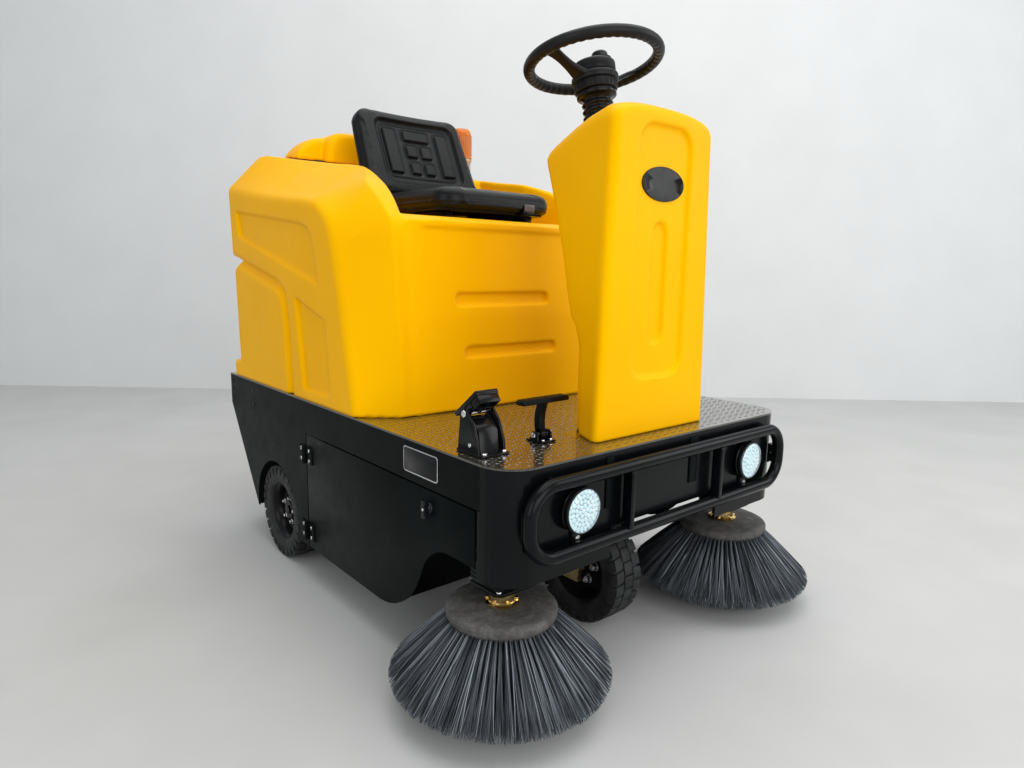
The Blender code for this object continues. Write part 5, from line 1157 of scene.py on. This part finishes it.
# ---------------------------------------------------------------- pedals
GAS = Vector((-0.385, -0.461, 0.5545))
x = GAS.x
b.box((x - 0.032, -0.517, 0.4829), (x + 0.032, -0.438, 0.487), 0.0016)
cheek = [(-0.506, 0.486), (-0.442, 0.486), (-0.445, 0.502), (-0.45, 0.55), (-0.453, 0.561), (-0.462, 0.5625),
         (-0.472, 0.56), (-0.49, 0.54), (-0.502, 0.506)]
for low in (-0.0318, 0.0268):
    b.prism(cheek, "YZ", x + low, x + low + 0.005, 0.001)
b.prism([(-0.5, 0.486), (-0.452, 0.486), (-0.454, 0.52), (-0.458, 0.548), (-0.476, 0.544),
         (-0.494, 0.525)], "YZ", x - 0.0225, x + 0.0225, 0.003)
for level in (0.496, 0.504, 0.512, 0.52):
    b.box((x - 0.0235, -0.493 + (level - 0.496) * 0.5, level), (x + 0.0235, -0.44, level + 0.003), 0.0008)
for side in (-1, 1):
    b.pins(GAS, (side, 0, 0), ((0.029, 0.033, 0.007, 6, 0.0008, 1),))
    b.pins((x, -0.48, 0.5), (side, 0, 0), ((0.0312, 0.0335, 0.0042, 16, 0.0008, 1),))
    for y in (-0.511, -0.444):
        b.pins((x + side * 0.0225, y, 0), UP, ((0.4866, 0.491, 0.0058, 6, 0.0008, 1),))
b.rod((x - 0.029, GAS.y, GAS.z), (x + 0.029, GAS.y, GAS.z), 0.0039, 16, 0, 1)
b.piece("accelerator_housing", "chassis", ["gloss", "steel"], ("accelerator_base",), 35)

pad_frame = (Matrix.Translation((x, GAS.y + 0.004, GAS.z + 0.0165))
             @ Matrix.Rotation(-math.atan2(0.054, 0.068), 4, "X"))
# plate, two side walls, two end walls, keel, three webs and two cross webs under the plate
for low, high, bevel in (
        ((-0.0252, -0.04, -0.004), (0.0252, 0.04, 0.0004), 0.0014),
        ((-0.0252, -0.04, -0.001), (-0.0215, 0.04, 0.0048), 0.001),
        ((0.0215, -0.04, -0.001), (0.0252, 0.04, 0.0048), 0.001),
        ((-0.0252, -0.04, -0.001), (0.0252, -0.035, 0.0052), 0.0014),
        ((-0.0252, 0.035, -0.001), (0.0252, 0.04, 0.0052), 0.0014),
        ((-0.006, -0.034, -0.008), (0.006, 0.03, -0.003), 0.0012),
        ((-0.0235, -0.038, -0.02), (-0.0195, 0.006, -0.003), 0.0008),
        ((0.0195, -0.038, -0.02), (0.0235, 0.006, -0.003), 0.0008),
        ((-0.002, -0.038, -0.02), (0.002, 0.006, -0.003), 0.0008),
        ((-0.0235, -0.0385, -0.02), (0.0235, -0.035, -0.003), 0.0008),
        ((-0.0235, -0.016, -0.02), (0.0235, -0.012, -0.003), 0.0008)):
    b.box(low, high, bevel, pad_frame)
for number in range(9):
    v = -0.029 + number * 0.0072
    b.box((-0.0205, v - 0.0018, 0.0), (0.0205, v + 0.0018, 0.0034), 0.0009, pad_frame)
b.piece("accelerator_pad_ribbed", "accelerator", ["gloss"], ("accelerator_pedal",), 35)

BRAKE = Vector((-0.243, -0.48, 0.4965))
x = BRAKE.x
b.box((x - 0.02, BRAKE.y - 0.022, 0.4829), (x + 0.02, BRAKE.y + 0.022, 0.4866), 0.0012)
for low in (-0.02, 0.015):
    b.prism([(BRAKE.y - 0.012, 0.485), (BRAKE.y + 0.012, 0.485), (BRAKE.y + 0.009, 0.499),
             (BRAKE.y + 0.004, 0.504), (BRAKE.y - 0.004, 0.504), (BRAKE.y - 0.009, 0.499)], "YZ", x + low,
            x + low + 0.005, 0.001)
for side in (-1, 1):
    b.pins(BRAKE, (side, 0, 0), ((0.015, 0.0235, 0.0062, 6, 0.0008, 1),))
    for v in (-0.0165, 0.0165):
        b.pins((x + side * 0.01, BRAKE.y + v, 0), UP, ((0.4862, 0.4895, 0.004, 6, 0.0006, 1),))
b.rod((x - 0.016, BRAKE.y, BRAKE.z), (x + 0.016, BRAKE.y, BRAKE.z), 0.0039, 16, 0, 1)
b.piece("brake_bracket_bolted", "chassis", ["frame", "steel"], ("brake_bracket",), 35)
lever = [(BRAKE.y + 0.007 * math.sin(math.pi * s) - 0.0035 * s, BRAKE.z - 0.007 + 0.074 * s)
         for s in np.linspace(0, 1, 12)]
outline = [(y + 0.0075, z) for y, z in lever] + [(y - 0.0075, z) for y, z in lever[::-1]]
b.prism(outline, "YZ", x - 0.0072, x + 0.0072, 0.0012)
b.lathe([(0.0045, -0.0072), (0.011, -0.0072), (0.011, 0.0072), (0.0045, 0.0072)], (x, BRAKE.y, BRAKE.z), (1, 0, 0),
        32, closed=True)
BAR = Matrix.Translation((x, BRAKE.y - 0.003, BRAKE.z + 0.068))
b.box((-0.06, -0.012, -0.0052), (0.06, 0.012, 0.004), 0.0024, BAR, segments=3)
for number in range(17):
    u = -0.054 + number * 0.00675
    b.box((u - 0.0016, -0.0112, 0.003), (u + 0.0016, 0.0112, 0.0056), 0.0007, BAR)
b.piece("brake_lever_bar", "brake", ["frame"], ("brake_pedal",), 35)

# ---------------------------------------------------------------- doors, hinges and side fittings
DOOR_LINE = [
    (0.1735, 0.097), (0.1735, 0.3945), (-0.5265, 0.3945), (-0.5265, 0.287), (-0.4507, 0.2876), (-0.433, 0.2862),
    (-0.418, 0.2825), (-0.402, 0.276), (-0.387, 0.2668), (-0.3745, 0.255), (-0.364, 0.24), (-0.356, 0.224),
    (-0.3495, 0.208), (-0.341, 0.192), (-0.331, 0.176), (-0.319, 0.161), (-0.305, 0.146), (-0.289, 0.133),
    (-0.2719, 0.122), (-0.252, 0.1115), (-0.2307, 0.104), (-0.208, 0.099), (-0.185, 0.097),
]
HINGES = (0.14, 0.342)


def side_fittings(side, name):
    """Screws, plugs, bolts and plate on a side panel; screws, hinged leaf and latch handle on its door."""
    face = side * HALF
    out = (side, 0, 0)

    def stud(y, z, radius, proud, index, sides=18, start=0.0):
        b.pins((face, y, z), out, ((start - 0.0006, start + proud, radius, sides, min(radius, proud) * 0.3, index),))

    def hinge_screws(y):
        for middle in HINGES:
            for z in (middle - 0.013, middle + 0.013):
                stud(y, z, 0.0046, 0.0022, 1, start=0.0025)
                stud(y, z, 0.002, 0.0029, 2, 6, start=0.0025)

    hinge_screws(0.199)
    for z in (0.452, 0.411):
        stud(0.533, z, 0.0052, 0.0012, 2, 20)
    for z in (0.461, 0.436, 0.41):
        stud(0.702, z, 0.0036, 0.0018, 0, 16)
    b.piece(f"side_panel_{name}_fittings", "chassis", ["frame", "steel", "plastic"], (), 35)

    for inset, index, proud in ((0.0, 0, 0.001), (0.0022, 1, 0.0014)):
        outline = rounded_outline(-0.413 + inset, -0.293 - inset, 0.415 + inset, 0.466 - inset, 0.0065 - inset, 6)
        b.prism(outline, "YZ", face + side * 0.0002, face + side * proud, 0.0003, index)
    b.piece(f"side_plate_{name}_blank", "chassis", ["steel", "gloss"], (), 35)

    hinge_screws(0.155)
    b.piece(f"door_{name}_screws", f"service_door_{name}", ["frame", "steel", "plastic"], (), 35)

    b.prism(DOOR_LINE, "YZ", side * 0.4362, face, 0.001)
    for middle in HINGES:
        b.box((face - side * 0.001, 0.141, middle - 0.022), (face + side * 0.0025, 0.1705, middle + 0.022), 0.0008)
        b.box((face + side * 0.0006, 0.168, middle + 0.0006), (face + side * 0.0035, 0.177, middle + 0.0214), 0.0005)
        b.pins((face + side * 0.006, 0.177, middle), UP, ((0.0003, 0.0105, 0.0055, 24, 0.0008),
                                                          (0.0112, 0.022, 0.0055, 24, 0.0008)))
    b.piece(f"door_{name}_leaf", f"service_door_{name}", "sheet", (f"door_{name}",), 35)

    at = (face, -0.386, 0.361)
    b.lathe([(0, -0.008), (0.0058, -0.008), (0.0058, 0.0004), (0.0128, 0.0006), (0.0132, 0.003), (0.0118, 0.006),
             (0.009, 0.008), (0.0085, 0.012), (0, 0.0125)], at, out, 40)
    b.prism([(-0.3795, 0.343), (-0.3925, 0.343), (-0.3935, 0.35), (-0.3905, 0.361), (-0.3935, 0.372),
             (-0.3925, 0.379), (-0.3795, 0.379), (-0.3785, 0.372), (-0.3815, 0.361), (-0.3785, 0.35)], "YZ",
            face + side * 0.0075, face + side * 0.0168, 0.0022)
    b.pins(at, out, ((0.016, 0.0176, 0.003, 12, 0.0005, 1),))
    b.piece(f"door_latch_{name}_handle", f"latch_{name}", ["gloss", "steel"],
            (f"door_latch_{name}",),
            35)


for side, name in SIDES:
    side_fittings(side, name)
    arch = arc((0.382, 0.13), 0.162, -8, 188, 48) + arc((0.382, 0.13), 0.16, 188, -8, 48)
    b.prism(arch, "YZ", side * 0.327, side * 0.4355)
    b.piece(f"wheel_liner_{name}", "chassis", "plastic", (), 30)

# ---------------------------------------------------------------- studio
scene = bpy.context.scene
scene.view_settings.view_transform = "Standard"
camera = bpy.data.objects.new("camera", bpy.data.cameras.new("camera"))
scene.collection.objects.link(camera)
ahead = Vector((0.638038, 0.751625, -0.167234))
turn = Matrix(((0.764104, -0.644871, 0.016903), (0.09514, 0.138569, 0.985772), -ahead)).transposed().to_4x4()
camera.matrix_world = Matrix.Translation((-1.13789, -1.44359, 0.81698)) @ turn
camera.data.lens = 24.254
camera.data.sensor_width = 36.0
scene.camera = camera


def plain(name, low, high):
    m = Nodes(name, Roughness=0.85)
    m.colour(m.noise(3.0, 4.0), (0.3, low), (0.7, high))
    return m.material


def studio_wall(name, corners, material):
    obj = bpy.data.objects.new(name, mesh_of(name, corners, [(0, 1, 2, 3)]))
    obj.data.materials.append(material)
    scene.collection.objects.link(obj)
    return obj


floor = studio_wall("floor", [(-12, -12, 0), (12, -12, 0), (12, 12, 0), (-12, 12, 0)],
                    plain("pale_floor", (0.5, 0.5, 0.49), (0.54, 0.54, 0.53)))
WALL_AWAY = 2.6
level_ahead = Vector((ahead.x, ahead.y, 0)).normalized()
across = Vector((level_ahead.y, -level_ahead.x, 0))
wall = studio_wall("backdrop", [level_ahead * WALL_AWAY + across * u + Vector((0, 0, z)) for u, z in
                                ((-9, 0), (9, 0), (9, 6), (-9, 6))],
                   plain("pale_backdrop", (0.7, 0.71, 0.71), (0.73, 0.74, 0.74)))


def soft_light(name, where, towards, size, power):
    data = bpy.data.lights.new(name, "AREA")
    data.shape = "RECTANGLE"
    data.size, data.size_y = size
    data.energy = power
    lamp = bpy.data.objects.new(name, data)
    lamp.location = where
    lamp.rotation_euler = (Vector(towards) - Vector(where)).to_track_quat("-Z", "Y").to_euler()
    scene.collection.objects.link(lamp)


soft_light("overhead", (0.3, -0.6, 4.4), (0, 0, 0.5), (4.5, 4.5), 132)
soft_light("front_fill", (-0.6, -4.6, 1.8), (0, 0, 0.6), (4.0, 2.6), 88)
soft_light("left_front", (3.4, -3.0, 2.4), (0, 0, 0.6), (2.4, 2.4), 44)
soft_light("right_side", (-4.4, -1.4, 2.0), (0, 0, 0.6), (2.6, 2.6), 36)
world = bpy.data.worlds.new("studio")
scene.world = world
world.use_nodes = True
sky = world.node_tree.nodes["Background"].inputs
sky["Color"].default_value = (0.86, 0.9, 0.93, 1)
sky["Strength"].default_value = 0.55
